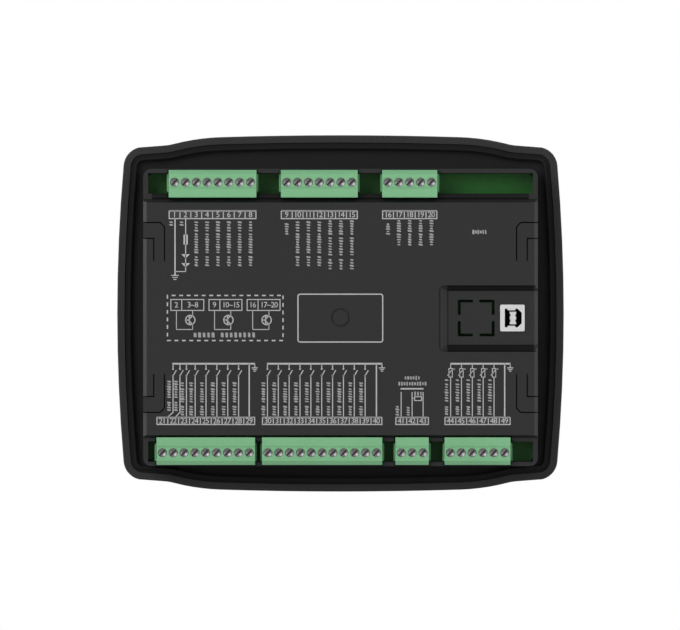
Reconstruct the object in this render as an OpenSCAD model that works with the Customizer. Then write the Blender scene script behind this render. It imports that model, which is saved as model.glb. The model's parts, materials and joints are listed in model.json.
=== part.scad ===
// Panel-mounted fan controller: bezel, rear cover, boards and pull-off terminal blocks.
// The rim of the bezel seats on the panel in the plane y = 0. The display and keys face -Y,
// the terminals face +Y, and Z is up. Lengths are in millimetres.

/* [Box and bezel outline] */
// Width of the box behind the panel
body_w = 184.7; // [183:0.1:188]
// Height of the box
body_h = 139.2; // [138:0.1:142]
// How far the bezel reaches beyond the box at each side
side_lip = 12.15; // [11.8:0.05:14]
// How far it reaches above the box
top_lip = 15.7; // [14:0.1:17]
// How far it reaches below the box
bottom_lip = 11.9; // [11.6:0.1:14]
// Radius of the long top and bottom arcs
top_arc_r = 1770; // [1400:10:2400]
// Radius of the long side arcs
side_arc_r = 812; // [650:2:1200]
// Distance from the middle at which the top arc turns down
bend_start = 56; // [52:0.5:58]
// Radius of that bend
bend_r = 100; // [90:1:108]
// Steepest slope of the bend, in degrees
bend_slope = 14.6; // [13:0.1:15.6]
// Radius of the hollow that follows the bend
hollow_r = 25; // [18:0.5:32]
// Slope of the shoulder beside the corner, in degrees
shoulder_slope = 3.7; // [2.5:0.1:5]
// Radius of the corners
corner_r = 9.4; // [9:0.1:12]

/* [Bezel] */
// Depth of the bezel in front of the panel seat
bezel_depth = 12; // [11:0.5:16]
// Thickness of the front wall
front_wall = 2.5; // [2:0.1:3]
// Width of the rim that meets the panel
rim_w = 3.4; // [2.8:0.1:3.8]
// Width of the bezel's side wall below the rear cover's flange
side_wall = 5.4; // [4.8:0.1:6]
// Radius of the rounding round the front
front_round = 6; // [3:0.5:7]
// Radius of the rounding at the edge of the rim
rim_round = 0.6; // [0.3:0.1:1]
// Width of the snap hooks
hook_w = 10; // [6:0.5:14]
// Thickness of the snap hooks
hook_t = 1.3; // [1:0.1:1.6]
// Height of the catch on a snap hook
hook_catch = 0.8; // [0.5:0.1:1]

/* [Seal] */
// Width of the seat that carries the gasket
gasket_w = 3.1; // [2.8:0.1:3.3]
// Depth of the gasket's seat below the rim
gasket_seat = 1.6; // [1.2:0.1:2]
// Thickness of the gasket's flat base
gasket_base = 0.8; // [0.5:0.1:1]
// How far the sealing bead stands out of the rim, before it is pressed
bead_proud = 0.8; // [0.4:0.1:1.2]
// Width of the sealing bead
bead_w = 1.4; // [1:0.1:1.6]

/* [Rear cover] */
// Reach of the rear cover behind the panel seat
cover_reach = 31; // [29:0.5:36]
// Thickness of the cover's walls
cover_wall = 2.1; // [1.8:0.1:2.4]
// Radius of the box's corners
body_r = 3.7; // [3:0.1:5]
// Depth of the moat round the box below the rim
moat_depth = 4; // [3.6:0.1:4.6]
// Thickness of the flange
flange_t = 2.2; // [1.8:0.1:2.6]
// Drop from the raised middle to the rims round the terminal bays
step_h = 3.5; // [3:0.1:4.2]
// Run of the slope at the top edge of the raised middle
slope_top = 1.6; // [1:0.1:2]
// Run of the slope at its bottom edge
slope_bottom = 1.2; // [0.8:0.1:1.6]
// Width of the chamfer along its left and right edges
edge_chamfer = 1.6; // [1:0.1:2]
// Width of the slits round the latch arms
slit_w = 0.55; // [0.4:0.05:0.8]
// Depth of the pockets for the panel clips
clip_pocket = 1.2; // [0.8:0.1:1.4]

/* [Port recess] */
// Depth of the recess round the port
recess_depth = 2.3; // [1.8:0.1:2.8]
// Height of the flat floor of the recess
recess_h = 25.1; // [24:0.1:27]
// Width of the recess, from the side of the box
recess_w = 46.35; // [44:0.05:50]
// Side of the square knock-out
knockout = 16.9; // [15:0.1:18]
// Width of the knock-out's slots
knockout_slot = 1; // [0.8:0.1:1.3]
// Width of the port's housing
port_w = 11.5; // [11:0.1:12.5]
// Height of the port's housing
port_h = 12.5; // [12:0.1:13.5]
// Width of the port's opening
port_slot_w = 7.9; // [7.6:0.1:8.2]
// Height of the port's opening
port_slot_h = 8.7; // [8.4:0.1:9]

/* [Terminal blocks] */
// Poles of the top blocks, from the +X end
top_poles = [8, 7, 5]; // [3:1:8]
// Free length before each top header
top_gaps = [8.7, 9.65, 9.65]; // [1:0.05:12]
// Free length after the last of them
top_end = 43.8; // [1:0.1:50]
// Poles of the bottom blocks, from the +X end
bottom_poles = [9, 11, 3, 6]; // [3:1:11]
// Free length before each bottom header
bottom_gaps = [3, 1.45, 4.35, 5.55]; // [1:0.05:9]
// Free length after the last of them
bottom_end = 9.53; // [1:0.01:12]
// Distance between poles
pitch = 5.08; // [5:0.02:5.12]
// Depth of a plug, from its inner to its outer edge
plug_d = 12.9; // [12.6:0.1:13]
// Height of a plug's upper part, which stands on the header
plug_top_h = 8.7; // [8:0.1:10]
// Height of the headers above the board
header_h = 12; // [11:0.5:14]
// Depth of the headers
header_d = 8.4; // [8.2:0.1:8.6]
// Thickness of the headers' walls
header_wall = 0.85; // [0.7:0.05:0.95]
// Diameter of the terminal screws' heads
screw_d = 3.9; // [3.6:0.1:4]
// Width of the header pins
pin_w = 1; // [0.8:0.05:1.1]

/* [Boards] */
// Distance from the cover's rear face down to the main board
board_drop = 19; // [18.5:0.5:20]
// Thickness of the boards
board_t = 1.6; // [1.2:0.1:2]
// Height of the display board
display_board_h = 100; // [98:1:104]
// Diameter of the board screws
board_screw_d = 2.9; // [2.5:0.1:3]

/* [Display and keys] */
// Width of the display module
lcd_w = 105.5; // [104:0.5:107]
// Height of the display module
lcd_h = 67.2; // [66:0.2:69]
// Thickness of the display module
lcd_t = 2.9; // [2.5:0.1:3.4]
// Width of the display window
window_w = 95.5; // [90:0.5:97]
// Height of the display window
window_h = 54.3; // [50:0.1:56]
// Distance of the display's middle from the bezel's middle
lcd_x = -26; // [-28:0.5:-24]
// Margin of the bezel beside the front overlay
overlay_side = 9.5; // [7:0.5:12]
// Margin of the bezel above and below it
overlay_edge = 14.4; // [10:0.2:18]
// Thickness of the front overlay
overlay_t = 0.4; // [0.3:0.05:0.6]
// Diameter of the keys
key_d = 13; // [11:0.5:14]
// Travel of the keys
key_travel = 0.6; // [0.4:0.1:0.8]
// Distance between the two columns of keys
key_columns = 26; // [22:1:27]
// Distance between the rows of keys
key_rows = 30; // [26:1:32]

/* [Hidden] */
$fn = 48;
TINY = 0.01;
KEY_NAMES = ["key_up", "key_down", "key_set", "key_back", "key_start", "key_stop"];
BLOCKS = len(top_poles) + len(bottom_poles);
function numbered(name) = [for (i = [1:BLOCKS]) str(name, i)];

// Clearances
fit = 0.3;        // between housings and what drops into them
slide_fit = 0.15; // between a plug and its header and pins, and between bezel and flange
touch = 0.1;      // between parts held close together
notch_fit = 0.5;  // round a plug where it passes the cover
key_fit = 0.2;    // round the keys and light pipes
snug = 0.05;      // round pins and screws that are pressed or driven in

// Colours
housing_colour = [0.2, 0.2, 0.2];
rubber_colour = [0.09, 0.09, 0.09];
plug_colour = [0.48, 0.72, 0.52];
header_colour = [0.42, 0.68, 0.46];
board_colour = [0.13, 0.36, 0.15];
steel_colour = [0.62, 0.62, 0.6];
tin_colour = [0.78, 0.78, 0.76];
gold_colour = [0.85, 0.7, 0.35];
can_colour = [0.75, 0.75, 0.78];
white_colour = [0.92, 0.92, 0.9];
dark_colour = [0.1, 0.1, 0.11];
clear_colour = [0.9, 0.9, 0.9, 0.6];
glass_colour = [0.35, 0.45, 0.5, 0.5];

// Depths, from the front to the rear
cushion_t = 2.5;
front_y = -bezel_depth;
inner_y = front_y + front_wall;
moat_y = -moat_depth;
flange_y = moat_y - flange_t;
seat_y = -gasket_seat;
tier_y = cover_reach - step_h;
ceiling_y = cover_reach - cover_wall;
board_y = cover_reach - board_drop;
board_front_y = board_y - board_t;
lcd_y = inner_y + touch;
display_y = lcd_y + lcd_t + cushion_t;
display_rear_y = display_y + board_t;
header_y = board_y + header_h;
plug_y = header_y + fit;
plug_rear_y = plug_y + plug_top_h;
recess_y = cover_reach - recess_depth;

// Overall sizes
bezel_w = body_w + 2 * side_lip;
bezel_h = body_h + top_lip + bottom_lip;
body_z = (bottom_lip - top_lip) / 2;

// Bezel outline: the centres of the tangent arcs of one quarter, and where they meet
top_c = [0, bezel_h / 2 - top_arc_r];
bend_a = asin(bend_start / top_arc_r);
bend_c = top_c + (top_arc_r - bend_r) * [sin(bend_a), cos(bend_a)];
hollow_c = bend_c + (bend_r + hollow_r) * [sin(bend_slope), cos(bend_slope)];
shoulder_n = [sin(shoulder_slope), cos(shoulder_slope)];
shoulder_u = [cos(shoulder_slope), -sin(shoulder_slope)];
side_c = [bezel_w / 2 - side_arc_r, 0];
corner_q = hollow_c - (hollow_r + corner_r) * shoulder_n - side_c;
corner_run = -corner_q * shoulder_u
    + sqrt(pow(corner_q * shoulder_u, 2) - corner_q * corner_q + pow(side_arc_r - corner_r, 2));
corner_c = side_c + corner_q + corner_run * shoulder_u;
side_a = atan2(corner_c[1] - side_c[1], corner_c[0] - side_c[0]);

// Points of an arc after its first, which the stretch before it has already given
function arc(c, r, a0, a1, n) =
    [for (i = [1:n]) let (a = a0 + (a1 - a0) * i / n) c + r * [cos(a), sin(a)]];

// One quarter of the outline, moved inwards by d, from the top middle to the side middle
function quarter(d) = concat(
    [[0, bezel_h / 2 - d]],
    arc(top_c, top_arc_r - d, 90, 90 - bend_a, 4),
    arc(bend_c, bend_r - d, 90 - bend_a, 90 - bend_slope, 5),
    arc(hollow_c, hollow_r + d, 270 - bend_slope, 270 - shoulder_slope, 3),
    arc(corner_c, corner_r - d, 90 - shoulder_slope, side_a, 8),
    arc(side_c, side_arc_r - d, side_a, 0, 4));

// The whole outline, clockwise seen from behind the origin with X to the right
function outline(d) = let (q = quarter(d), n = len(q) - 1) concat(
    [for (i = [0:n - 1]) q[i]],
    [for (i = [n:-1:1]) [q[i][0], -q[i][1]]],
    [for (i = [0:n - 1]) -q[i]],
    [for (i = [n:-1:1]) [-q[i][0], q[i][1]]]);

// Rectangle with round corners
function round_rect(w, h, r, c = [0, 0]) = [
    for (corner = [[1, 1, 0], [-1, 1, 90], [-1, -1, 180], [1, -1, 270]], i = [0:5])
        let (a = corner[2] + 18 * i)
            c + [corner[0] * (w / 2 - r), corner[1] * (h / 2 - r)] + r * [cos(a), sin(a)]];

// A flat shape in X and Z, given its thickness in Y
module slab(y0, y1) {
    translate([0, y1, 0])
        rotate([90, 0, 0])
            linear_extrude(y1 - y0)
                children();
}

// A ring that follows the bezel's outline between two insets
module outline_ring(y0, y1, outer, inner) {
    slab(y0, y1)
        difference() {
            polygon(outline(outer));
            polygon(outline(inner));
        }
}

// A box from its lowest to its highest corner
module block(low, high) {
    translate(low)
        cube(high - low);
}

// A round peg along +Y at p = [X, Z]
module peg(p, y0, y1, d) {
    translate([p[0], y0, p[1]])
        rotate([-90, 0, 0])
            cylinder(d = d, h = y1 - y0);
}

// A shape in Y and Z, given its length in X
module bar(x0, x1) {
    translate([x0, 0, 0])
        rotate([90, 0, 90])
            linear_extrude(x1 - x0)
                children();
}

// Terminal rows. w is the distance from the plugs' inner edge outwards; row is 1 at the top
// and -1 at the bottom.
plug_setback = 0.6; // of the plugs' outer face from the cover's wall
bay_reach = plug_d + plug_setback;
bay_w0 = 1.9;       // inner edge of the bay
bay_w1 = bay_reach - cover_wall;
bay_end = 0.25;     // from the side walls to the ends of the bay
bay_half = body_w / 2 - cover_wall - bay_end;
pole_w = 7.2;       // line of the screws and pins
header_w0 = 2.7;    // inner face of the headers
shelf_drop = 0.6;
shelf_y = header_y - shelf_drop;
plug_side = 0.2;    // plastic beyond the pitch at each end of a plug
header_side = 1.1;  // and of a header

function row_z(row, w) = body_z + row * (body_h / 2 - bay_reach + w);

// A box in a terminal row: half its width either side of x, from w0 to w1 outwards
module row_block(row, x, half, y0, y1, w0, w1) {
    z0 = min(row_z(row, w0), row_z(row, w1));
    block([x - half, y0, z0], [x + half, y1, z0 + abs(w1 - w0)]);
}

// Where each terminal block lies: its row, its number of poles and the X of its middle
function plug_half(poles) = poles * pitch / 2 + plug_side;
function header_half(poles) = poles * pitch / 2 + header_side;
function sum(v, n) = n < 1 ? 0 : v[n - 1] + sum(v, n - 1);
function widths(poles) = [for (p = poles) 2 * header_half(p)];

// The free lengths are shared out in proportion, so that they always fill the bay
function row_blocks(row, poles, gaps, end) =
    let (w = widths(poles), n = len(poles),
         share = (2 * bay_half - sum(w, n)) / (sum(gaps, n) + end))
        [for (i = [0:n - 1])
            [row, poles[i], bay_half - sum(w, i) - w[i] / 2 - share * sum(gaps, i + 1)]];
blocks = concat(row_blocks(1, top_poles, top_gaps, top_end),
    row_blocks(-1, bottom_poles, bottom_gaps, bottom_end));
function pole_xs(b) = [for (i = [0:b[1] - 1]) b[2] + (b[1] - 1) / 2 * pitch - i * pitch];

// Keys, in two columns at the +X side
key_in = 27.35; // of the columns' middle from the side of the box
key_x = body_w / 2 - key_in;
function key_place(i) = [key_x + (i % 2 - 0.5) * key_columns, (1 - floor(i / 2)) * key_rows];
key_places = [for (i = [0:len(KEY_NAMES) - 1]) key_place(i)];
key_hole_d = key_d + 2 * key_fit;
key_flange_d = key_d + 2;
key_flange_t = 1;
key_flange_y = inner_y + key_fit;
key_proud = 1.4;
key_guide_wall = 1;
key_guide_h = 2.4;
key_edge = 1;
stem_d = 3.2;
stem_reach = 0.3; // of the key's stem into its switch
switch_w = 6.2;
switch_h = 3.5;
switch_y = display_y - switch_h;
switch_spare = 1; // depth left in the switch below the pressed stem

// Boards and their screws
main_board_w = body_w - 2 * (cover_wall + fit);
boss_d = 7;
boss_floor = 0.5;
boss_xs = [-72, 0, 72];
boss_w = -9.9;
cover_bosses = [for (x = boss_xs, row = [1, -1]) [x, row_z(row, boss_w)]];
main_screw_l = 10;
display_board_gap = 1; // inside the cover's walls
display_board_w = body_w - 2 * (cover_wall + display_board_gap);
display_boss_in = 4.5; // from the board's edges
display_bosses = [for (sx = [-1, 1], sz = [-1, 1])
    [sx * (display_board_w / 2 - display_boss_in), sz * (display_board_h / 2 - display_boss_in)]];
display_screw_l = 6;
screw_head_d = 5.4;
screw_head_t = 1.8;
screw_hole_d = board_screw_d + 2 * key_fit;
screw_pilot_d = board_screw_d + 2 * snug;

// Link between the two boards, behind the display
link_in = 25; // from the display's middle
link_x = lcd_x + link_in;
link_rows = 15;
link_pitch = 2.54;
link_w = 5;
link_end = 0.25;
link_h = link_rows * link_pitch + 2 * link_end;
link_base = 2.5;
link_gap = 1.8;
link_pin_w = 0.64;
link_pin_tail = 0.9;
link_pin_reach = 6;
link_spare = 0.6;
link_hole_d = 1.1;
link_places = [for (side = [-0.5, 0.5], i = [0:link_rows - 1])
    [link_x + side * link_pitch, (i - (link_rows - 1) / 2) * link_pitch]];
socket_y = display_rear_y + link_base + link_gap;

// Status lights, between the display and the keys
light_in = 9.25; // from the display
light_x = lcd_x + lcd_w / 2 + light_in;
light_zs = [key_rows / 2, -key_rows / 2];
light_d = 3;
light_flange = 1;
light_gap = 0.5;
led_w = 3.2;
led_h = 2;
led_t = 1.5;

// Window and overlay
overlay_w = bezel_w - 2 * overlay_side;
overlay_h = bezel_h - 2 * overlay_edge;
window_margin = 0.25; // of the wall's window beyond the overlay's
window_r = 1;
overlay_r = 6;
lens_t = 1.4;
lens_r = 2;
lens_lip = 2.2;
lens_w = window_w + 2 * lens_lip;
lens_h = window_h + 2 * lens_lip;
lens_y = inner_y - lens_t - touch;
lcd_r = 0.3;
lcd_frame_wall = 1.6;

// Front of the bezel: rings that follow the outline and roll in to the front face and the rim
round_steps = 4;
front_rings = [for (i = [0:round_steps]) let (a = 90 * i / round_steps)
    [front_y + front_round * (1 - cos(a)), front_round * (1 - sin(a))]];
rim_rings = [for (i = [0:2]) [rim_round * (sin(45 * i) - 1), rim_round * (1 - cos(45 * i))]];

module outline_loft(rings) {
    count = len(outline(0));
    points = [for (ring = rings, p = outline(ring[1])) [p[0], ring[0], p[1]]];
    last = (len(rings) - 1) * count;
    sides = [for (k = [0:len(rings) - 2], i = [0:count - 1])
        let (a = k * count + i, b = k * count + (i + 1) % count)
            each [[a, a + count, b + count], [a, b + count, b]]];
    ends = [[for (i = [0:count - 1]) i], [for (i = [count - 1:-1:0]) last + i]];
    polyhedron(points, concat(sides, ends));
}

// Snap hooks at the top and bottom, which catch in pockets of the cover's walls
hook_xs = [-60, 0, 60];
hook_gap = 0.2;
hook_w1 = bay_w1 - hook_gap;
hook_w0 = hook_w1 - hook_t;
hook_y0 = 0.7;
hook_y1 = 2.9;
hook_flat = 0.4;

module snap_hook(row, x) {
    z0 = row_z(row, hook_w1 - TINY);
    z1 = row_z(row, hook_w1 + hook_catch);
    row_block(row, x, hook_w / 2, inner_y - TINY, hook_y1, hook_w0, hook_w1);
    bar(x - hook_w / 2, x + hook_w / 2)
        polygon([[hook_y0, z0], [hook_y0, z1], [hook_y0 + hook_flat, z1], [hook_y1, z0]]);
}

module front_bezel() color(housing_colour) {
    difference() {
        outline_loft(concat(front_rings, rim_rings));
        slab(inner_y, flange_y + TINY)
            polygon(outline(side_wall));
        slab(flange_y, 1)
            polygon(outline(rim_w));
        slab(front_y - 1, front_y + overlay_t)
            polygon(round_rect(overlay_w + 2 * touch, overlay_h + 2 * touch, overlay_r));
        slab(front_y, inner_y + 1)
            polygon(round_rect(window_w + 2 * window_margin, window_h + 2 * window_margin,
                window_r, [lcd_x, 0]));
        slab(lens_y, inner_y + 1)
            polygon(round_rect(lens_w + 2 * touch, lens_h + 2 * touch, lens_r, [lcd_x, 0]));
        for (p = key_places)
            peg(p, front_y - 1, inner_y + 1, key_hole_d);
        for (z = light_zs)
            peg([light_x, z], front_y - 1, inner_y + 1, light_d + 2 * touch);
    }
    // Frame round the display module
    slab(inner_y - TINY, inner_y + lcd_t)
        difference() {
            polygon(round_rect(lcd_w + 2 * (touch + lcd_frame_wall),
                lcd_h + 2 * (touch + lcd_frame_wall), window_r, [lcd_x, 0]));
            polygon(round_rect(lcd_w + 2 * touch, lcd_h + 2 * touch, lcd_r, [lcd_x, 0]));
        }
    // Guides round the keys' flanges
    for (p = key_places)
        difference() {
            peg(p, inner_y - TINY, inner_y + key_guide_h, key_flange_d + 2 * (key_fit + key_guide_wall));
            peg(p, inner_y - 1, inner_y + key_guide_h + 1, key_flange_d + 2 * key_fit);
        }
    // Bosses for the display board
    for (p = display_bosses)
        difference() {
            peg(p, inner_y - TINY, display_y, boss_d);
            peg(p, inner_y + boss_floor, display_y + 1, screw_pilot_d);
        }
    for (row = [1, -1], x = hook_xs)
        snap_hook(row, x);
}

// Clear lens, set in a rebate behind the window
module display_lens() color(glass_colour) {
    slab(lens_y, lens_y + lens_t)
        polygon(round_rect(lens_w, lens_h, lens_r, [lcd_x, 0]));
}

module front_overlay() color(dark_colour) {
    slab(front_y, front_y + overlay_t)
        difference() {
            polygon(round_rect(overlay_w, overlay_h, overlay_r));
            polygon(round_rect(window_w, window_h, window_r, [lcd_x, 0]));
            for (p = key_places)
                translate(p)
                    circle(d = key_hole_d + 2 * key_fit);
            for (z = light_zs)
                translate([light_x, z])
                    circle(d = light_d + 2 * key_fit);
        }
}

module display_module() color(dark_colour) {
    slab(lcd_y, lcd_y + lcd_t)
        polygon(round_rect(lcd_w, lcd_h, lcd_r, [lcd_x, 0]));
}

// Foam frame that presses the display module against the bezel
cushion_in = 1;
cushion_w = 10;

module display_cushion() color(rubber_colour) {
    slab(lcd_y + lcd_t, display_y)
        difference() {
            polygon(round_rect(lcd_w - 2 * cushion_in, lcd_h - 2 * cushion_in, 1, [lcd_x, 0]));
            polygon(round_rect(lcd_w - 2 * (cushion_in + cushion_w),
                lcd_h - 2 * (cushion_in + cushion_w), 1, [lcd_x, 0]));
        }
}

board_r = 2;

module display_board() color(board_colour) {
    difference() {
        slab(display_y, display_rear_y)
            polygon(round_rect(display_board_w, display_board_h, board_r));
        for (p = display_bosses)
            peg(p, display_y - 1, display_rear_y + 1, screw_hole_d);
        for (p = link_places)
            peg(p, display_y - 1, display_rear_y + 1, link_hole_d);
    }
}

// Pan-head screw along Y with a cross recess. It enters at y; side is the way its head points.
module board_screw(p, y, side, length) {
    tip = y - side * length;
    top = y + side * screw_head_t;
    difference() {
        union() {
            peg(p, min(tip, y), max(tip, y), board_screw_d);
            peg(p, min(y, top), max(y, top), screw_head_d);
        }
        for (turn = [0, 90])
            translate([p[0], top, p[1]])
                rotate([0, turn, 0])
                    cube([3, 2, 0.7], center = true);
    }
}

module display_board_screws() color(steel_colour) {
    for (p = display_bosses)
        board_screw(p, display_rear_y, 1, display_screw_l);
}

module main_board_screws() color(steel_colour) {
    for (p = cover_bosses)
        board_screw(p, board_front_y, -1, main_screw_l);
}

module key(p) color(housing_colour) {
    top_y = front_y - key_proud;
    r = key_d / 2;
    flange_r = key_flange_d / 2;
    rear_y = key_flange_y + key_flange_t;
    tip_y = switch_y + stem_reach;
    translate([p[0], 0, p[1]])
        rotate([-90, 0, 0])
            rotate_extrude()
                polygon([
                    [0, top_y], [r - key_edge, top_y], [r - key_edge / 3, top_y + key_edge / 3],
                    [r, top_y + key_edge], [r, key_flange_y], [flange_r, key_flange_y],
                    [flange_r, rear_y], [stem_d / 2, rear_y], [stem_d / 2, tip_y], [0, tip_y]]);
}

// Push switches under the keys
module key_switches() color(dark_colour) {
    for (p = key_places)
        difference() {
            block([p[0] - switch_w / 2, switch_y, p[1] - switch_w / 2],
                  [p[0] + switch_w / 2, display_y, p[1] + switch_w / 2]);
            peg(p, switch_y - 1, switch_y + stem_reach + key_travel + switch_spare,
                stem_d + 2 * key_fit);
        }
}

module light_pipes() color(clear_colour) {
    pipe_y = inner_y + touch;
    for (z = light_zs) {
        peg([light_x, z], front_y, display_y - led_t - light_gap, light_d);
        peg([light_x, z], pipe_y, pipe_y + light_flange, light_d + 2 * light_flange);
    }
}

module status_leds() color(white_colour) {
    for (z = light_zs)
        block([light_x - led_w / 2, display_y - led_t, z - led_h / 2],
              [light_x + led_w / 2, display_y, z + led_h / 2]);
}

module link_bars(y0, y1, clearance) {
    half = link_pin_w / 2 + clearance;
    for (p = link_places)
        block([p[0] - half, y0, p[1] - half], [p[0] + half, y1, p[1] + half]);
}

module link_header() color(dark_colour) {
    difference() {
        block([link_x - link_w / 2, display_rear_y, -link_h / 2],
              [link_x + link_w / 2, display_rear_y + link_base, link_h / 2]);
        link_bars(display_rear_y - 1, display_rear_y + link_base + 1, snug);
    }
}

module link_pins() color(gold_colour) {
    link_bars(display_y - link_pin_tail, socket_y + link_pin_reach, 0);
}

module link_socket() color(dark_colour) {
    difference() {
        block([link_x - link_w / 2, socket_y, -link_h / 2],
              [link_x + link_w / 2, board_front_y, link_h / 2]);
        link_bars(socket_y - 1, socket_y + link_pin_reach + link_spare, touch);
    }
}

// Main board, screwed to the cover's bosses, with its solder side to the front
module main_board() color(board_colour) {
    z0 = row_z(-1, bay_w1 - fit);
    z1 = row_z(1, bay_w1 - fit);
    difference() {
        slab(board_front_y, board_y)
            polygon(round_rect(main_board_w, z1 - z0, board_r, [0, (z0 + z1) / 2]));
        for (p = cover_bosses)
            peg(p, board_front_y - 1, board_y + 1, screw_hole_d);
        for (b = blocks, x = pole_xs(b))
            peg([x, row_z(b[0], pole_w)], board_front_y - 1, board_y + 1, pin_hole_d);
        for (p = contact_places)
            peg(p, board_front_y - 1, board_y + 1, contact_hole_d);
    }
}

// Larger parts on the main board's front
processor_w = 20;
processor_t = 1.5;
processor_place = [30, 14];
capacitor_d = 10;
capacitor_h = 9;
capacitor_base = 0.6;
capacitor_neck = 0.7;
capacitor_places = [[-66, 22], [-53, 22], [-40, 22]];
cell_d = 20;
cell_t = 3.2;
cell_place = [-20, -30];
holder_wall = 1.5;
holder_floor = 1.2;
holder_lip = 0.4;

module processor() color(dark_colour) {
    half = processor_w / 2;
    p = processor_place;
    block([p[0] - half, board_front_y - processor_t, p[1] - half],
          [p[0] + half, board_front_y, p[1] + half]);
}

module capacitors() color(can_colour) {
    for (p = capacitor_places) {
        peg(p, board_front_y - capacitor_h, board_front_y - capacitor_base, capacitor_d);
        peg(p, board_front_y - capacitor_base - TINY, board_front_y, capacitor_d - 2 * capacitor_neck);
    }
}

module coin_cell_holder() color(dark_colour) {
    cell_y = board_front_y - holder_floor;
    difference() {
        peg(cell_place, cell_y - cell_t - holder_lip, board_front_y, cell_d + 2 * holder_wall);
        peg(cell_place, cell_y - cell_t - 1, cell_y, cell_d + 2 * touch);
    }
}

module coin_cell() color(tin_colour) {
    cell_y = board_front_y - holder_floor;
    peg(cell_place, cell_y - cell_t, cell_y, cell_d);
}

// Latch arms: each is an L whose outer leg ends at the side wall. Its two slits start at
// arm_root, turn at the two distances from the side and leave at arm_low and arm_high.
arm_outer = 9.95;
arm_inner = 4.95;
arm_outer_x = body_w / 2 - arm_outer;
arm_inner_x = body_w / 2 - arm_inner;
arm_root = 26.75;
arm_low = 37;
arm_high = 44.45;
arm_corner = 2;

// A straight slit through the cover between two points of its rear face
module slit(p, q) {
    run = q - p;
    translate(p)
        rotate(atan2(run[1], run[0]))
            translate([-slit_w / 2, -slit_w / 2])
                square([norm(run) + slit_w, slit_w]);
}

module slits(points) {
    for (i = [0:len(points) - 2])
        slit(points[i], points[i + 1]);
}

module arm_slits(side, up) {
    edge_x = side * (body_w / 2 + 1);
    root = body_z + up * arm_root;
    low = body_z + up * arm_low;
    high = body_z + up * arm_high;
    slits([[side * arm_outer_x, root], [side * arm_outer_x, high - up * arm_corner],
           [side * (arm_outer_x + arm_corner), high], [edge_x, high]]);
    slits([[side * arm_inner_x, root], [side * arm_inner_x, low], [edge_x, low]]);
}

// The raised middle of the rear face, with slopes at its top and bottom and chamfered sides
foot_top = -0.7;   // foot of the top slope, from the plugs' inner edge
foot_bottom = 0.2; // foot of the bottom slope

module raised_middle() {
    half = body_w / 2;
    low_z = row_z(-1, foot_bottom);
    high_z = row_z(1, foot_top);
    intersection() {
        bar(-half, half)
            polygon([[tier_y - 1, low_z], [tier_y, low_z], [cover_reach, low_z + slope_bottom],
                     [cover_reach, high_z - slope_top], [tier_y, high_z], [tier_y - 1, high_z]]);
        translate([0, 0, body_z - body_h / 2])
            linear_extrude(body_h)
                polygon([[-half, tier_y - 1], [-half, cover_reach - edge_chamfer],
                         [-half + edge_chamfer, cover_reach], [half - edge_chamfer, cover_reach],
                         [half, cover_reach - edge_chamfer], [half, tier_y - 1]]);
    }
}

// Port: a white housing with a D-shaped opening and a tongue that carries the contacts
port_in = 11.9; // of its middle from the side of the box
port_z = -2.15;
port_c = [port_in - body_w / 2, port_z];
port_proud = 0.4;
port_deep = 9;
port_y = recess_y + port_proud;
port_r = 0.6;
port_shift = -0.4;
port_corner = 1.9;
port_tongue = [3, 5.9];
port_tongue_x = -0.25;
port_tongue_in = 0.8;
contact_w = 1;
contact_t = 0.3;
contact_tail = 1;
contact_in = 1.8;
contact_hole_d = 1.4;
contact_pitch = 2.5;
contact_places = [for (side = [-1, 1], up = [-1, 1])
    port_c + [port_tongue_x + side * (port_tongue[0] - contact_t) / 2, up * contact_pitch / 2]];

// Recess round the port: sloped on three sides and open at the side of the cover
recess_x = body_w / 2 - recess_w;
recess_z = -2.05;
recess_slope_x = 4;
recess_slope_top = 2.4;
recess_slope_bottom = 3.2;
recess_r = 2.3;
recess_low = recess_z - recess_h / 2;
recess_high = recess_z + recess_h / 2;

module port_recess() {
    over = 1;
    rise = recess_depth + over;
    grow = rise / recess_depth;
    far_x = -body_w / 2 - over;
    floor_x = -recess_x - recess_slope_x;
    foot_z = recess_low - recess_slope_bottom;
    head_z = recess_high + recess_slope_top;
    intersection() {
        bar(far_x, -recess_x + recess_slope_x)
            polygon([[recess_y, recess_low], [recess_y + rise, recess_low - recess_slope_bottom * grow],
                     [recess_y + rise, recess_high + recess_slope_top * grow], [recess_y, recess_high]]);
        translate([0, 0, foot_z - over])
            linear_extrude(head_z - foot_z + 2 * over)
                polygon([[far_x, recess_y], [floor_x, recess_y],
                         [floor_x + recess_slope_x * grow, recess_y + rise], [far_x, recess_y + rise]]);
        slab(recess_y - over, recess_y + rise)
            polygon(round_rect(body_w, head_z - foot_z, recess_r,
                [-recess_x - body_w / 2, (foot_z + head_z) / 2]));
    }
    // Chamfer along the side of the recess's floor
    translate([-body_w / 2, 0, recess_low])
        linear_extrude(recess_h)
            polygon([[-over, recess_y - edge_chamfer - over], [-over, recess_y + over],
                     [edge_chamfer + over, recess_y + over]]);
}

knockout_in = 28.85; // of its middle from the side of the box
knockout_c = [knockout_in - body_w / 2, port_z];
knockout_bridge = 3;

module knockout_slots() {
    translate(knockout_c)
        difference() {
            square(knockout, center = true);
            square(knockout - 2 * knockout_slot, center = true);
            square([knockout_bridge, knockout + 1], center = true);
            square([knockout + 1, knockout_bridge], center = true);
        }
}

// Inside of the cover: wide at the board, then narrower between the walls of the bays
step_reach = 0.4;
bay_wall_w = bay_w0 - cover_wall;
step_w = -notch_fit - cover_wall - step_reach; // under the slopes of the raised middle

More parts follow.
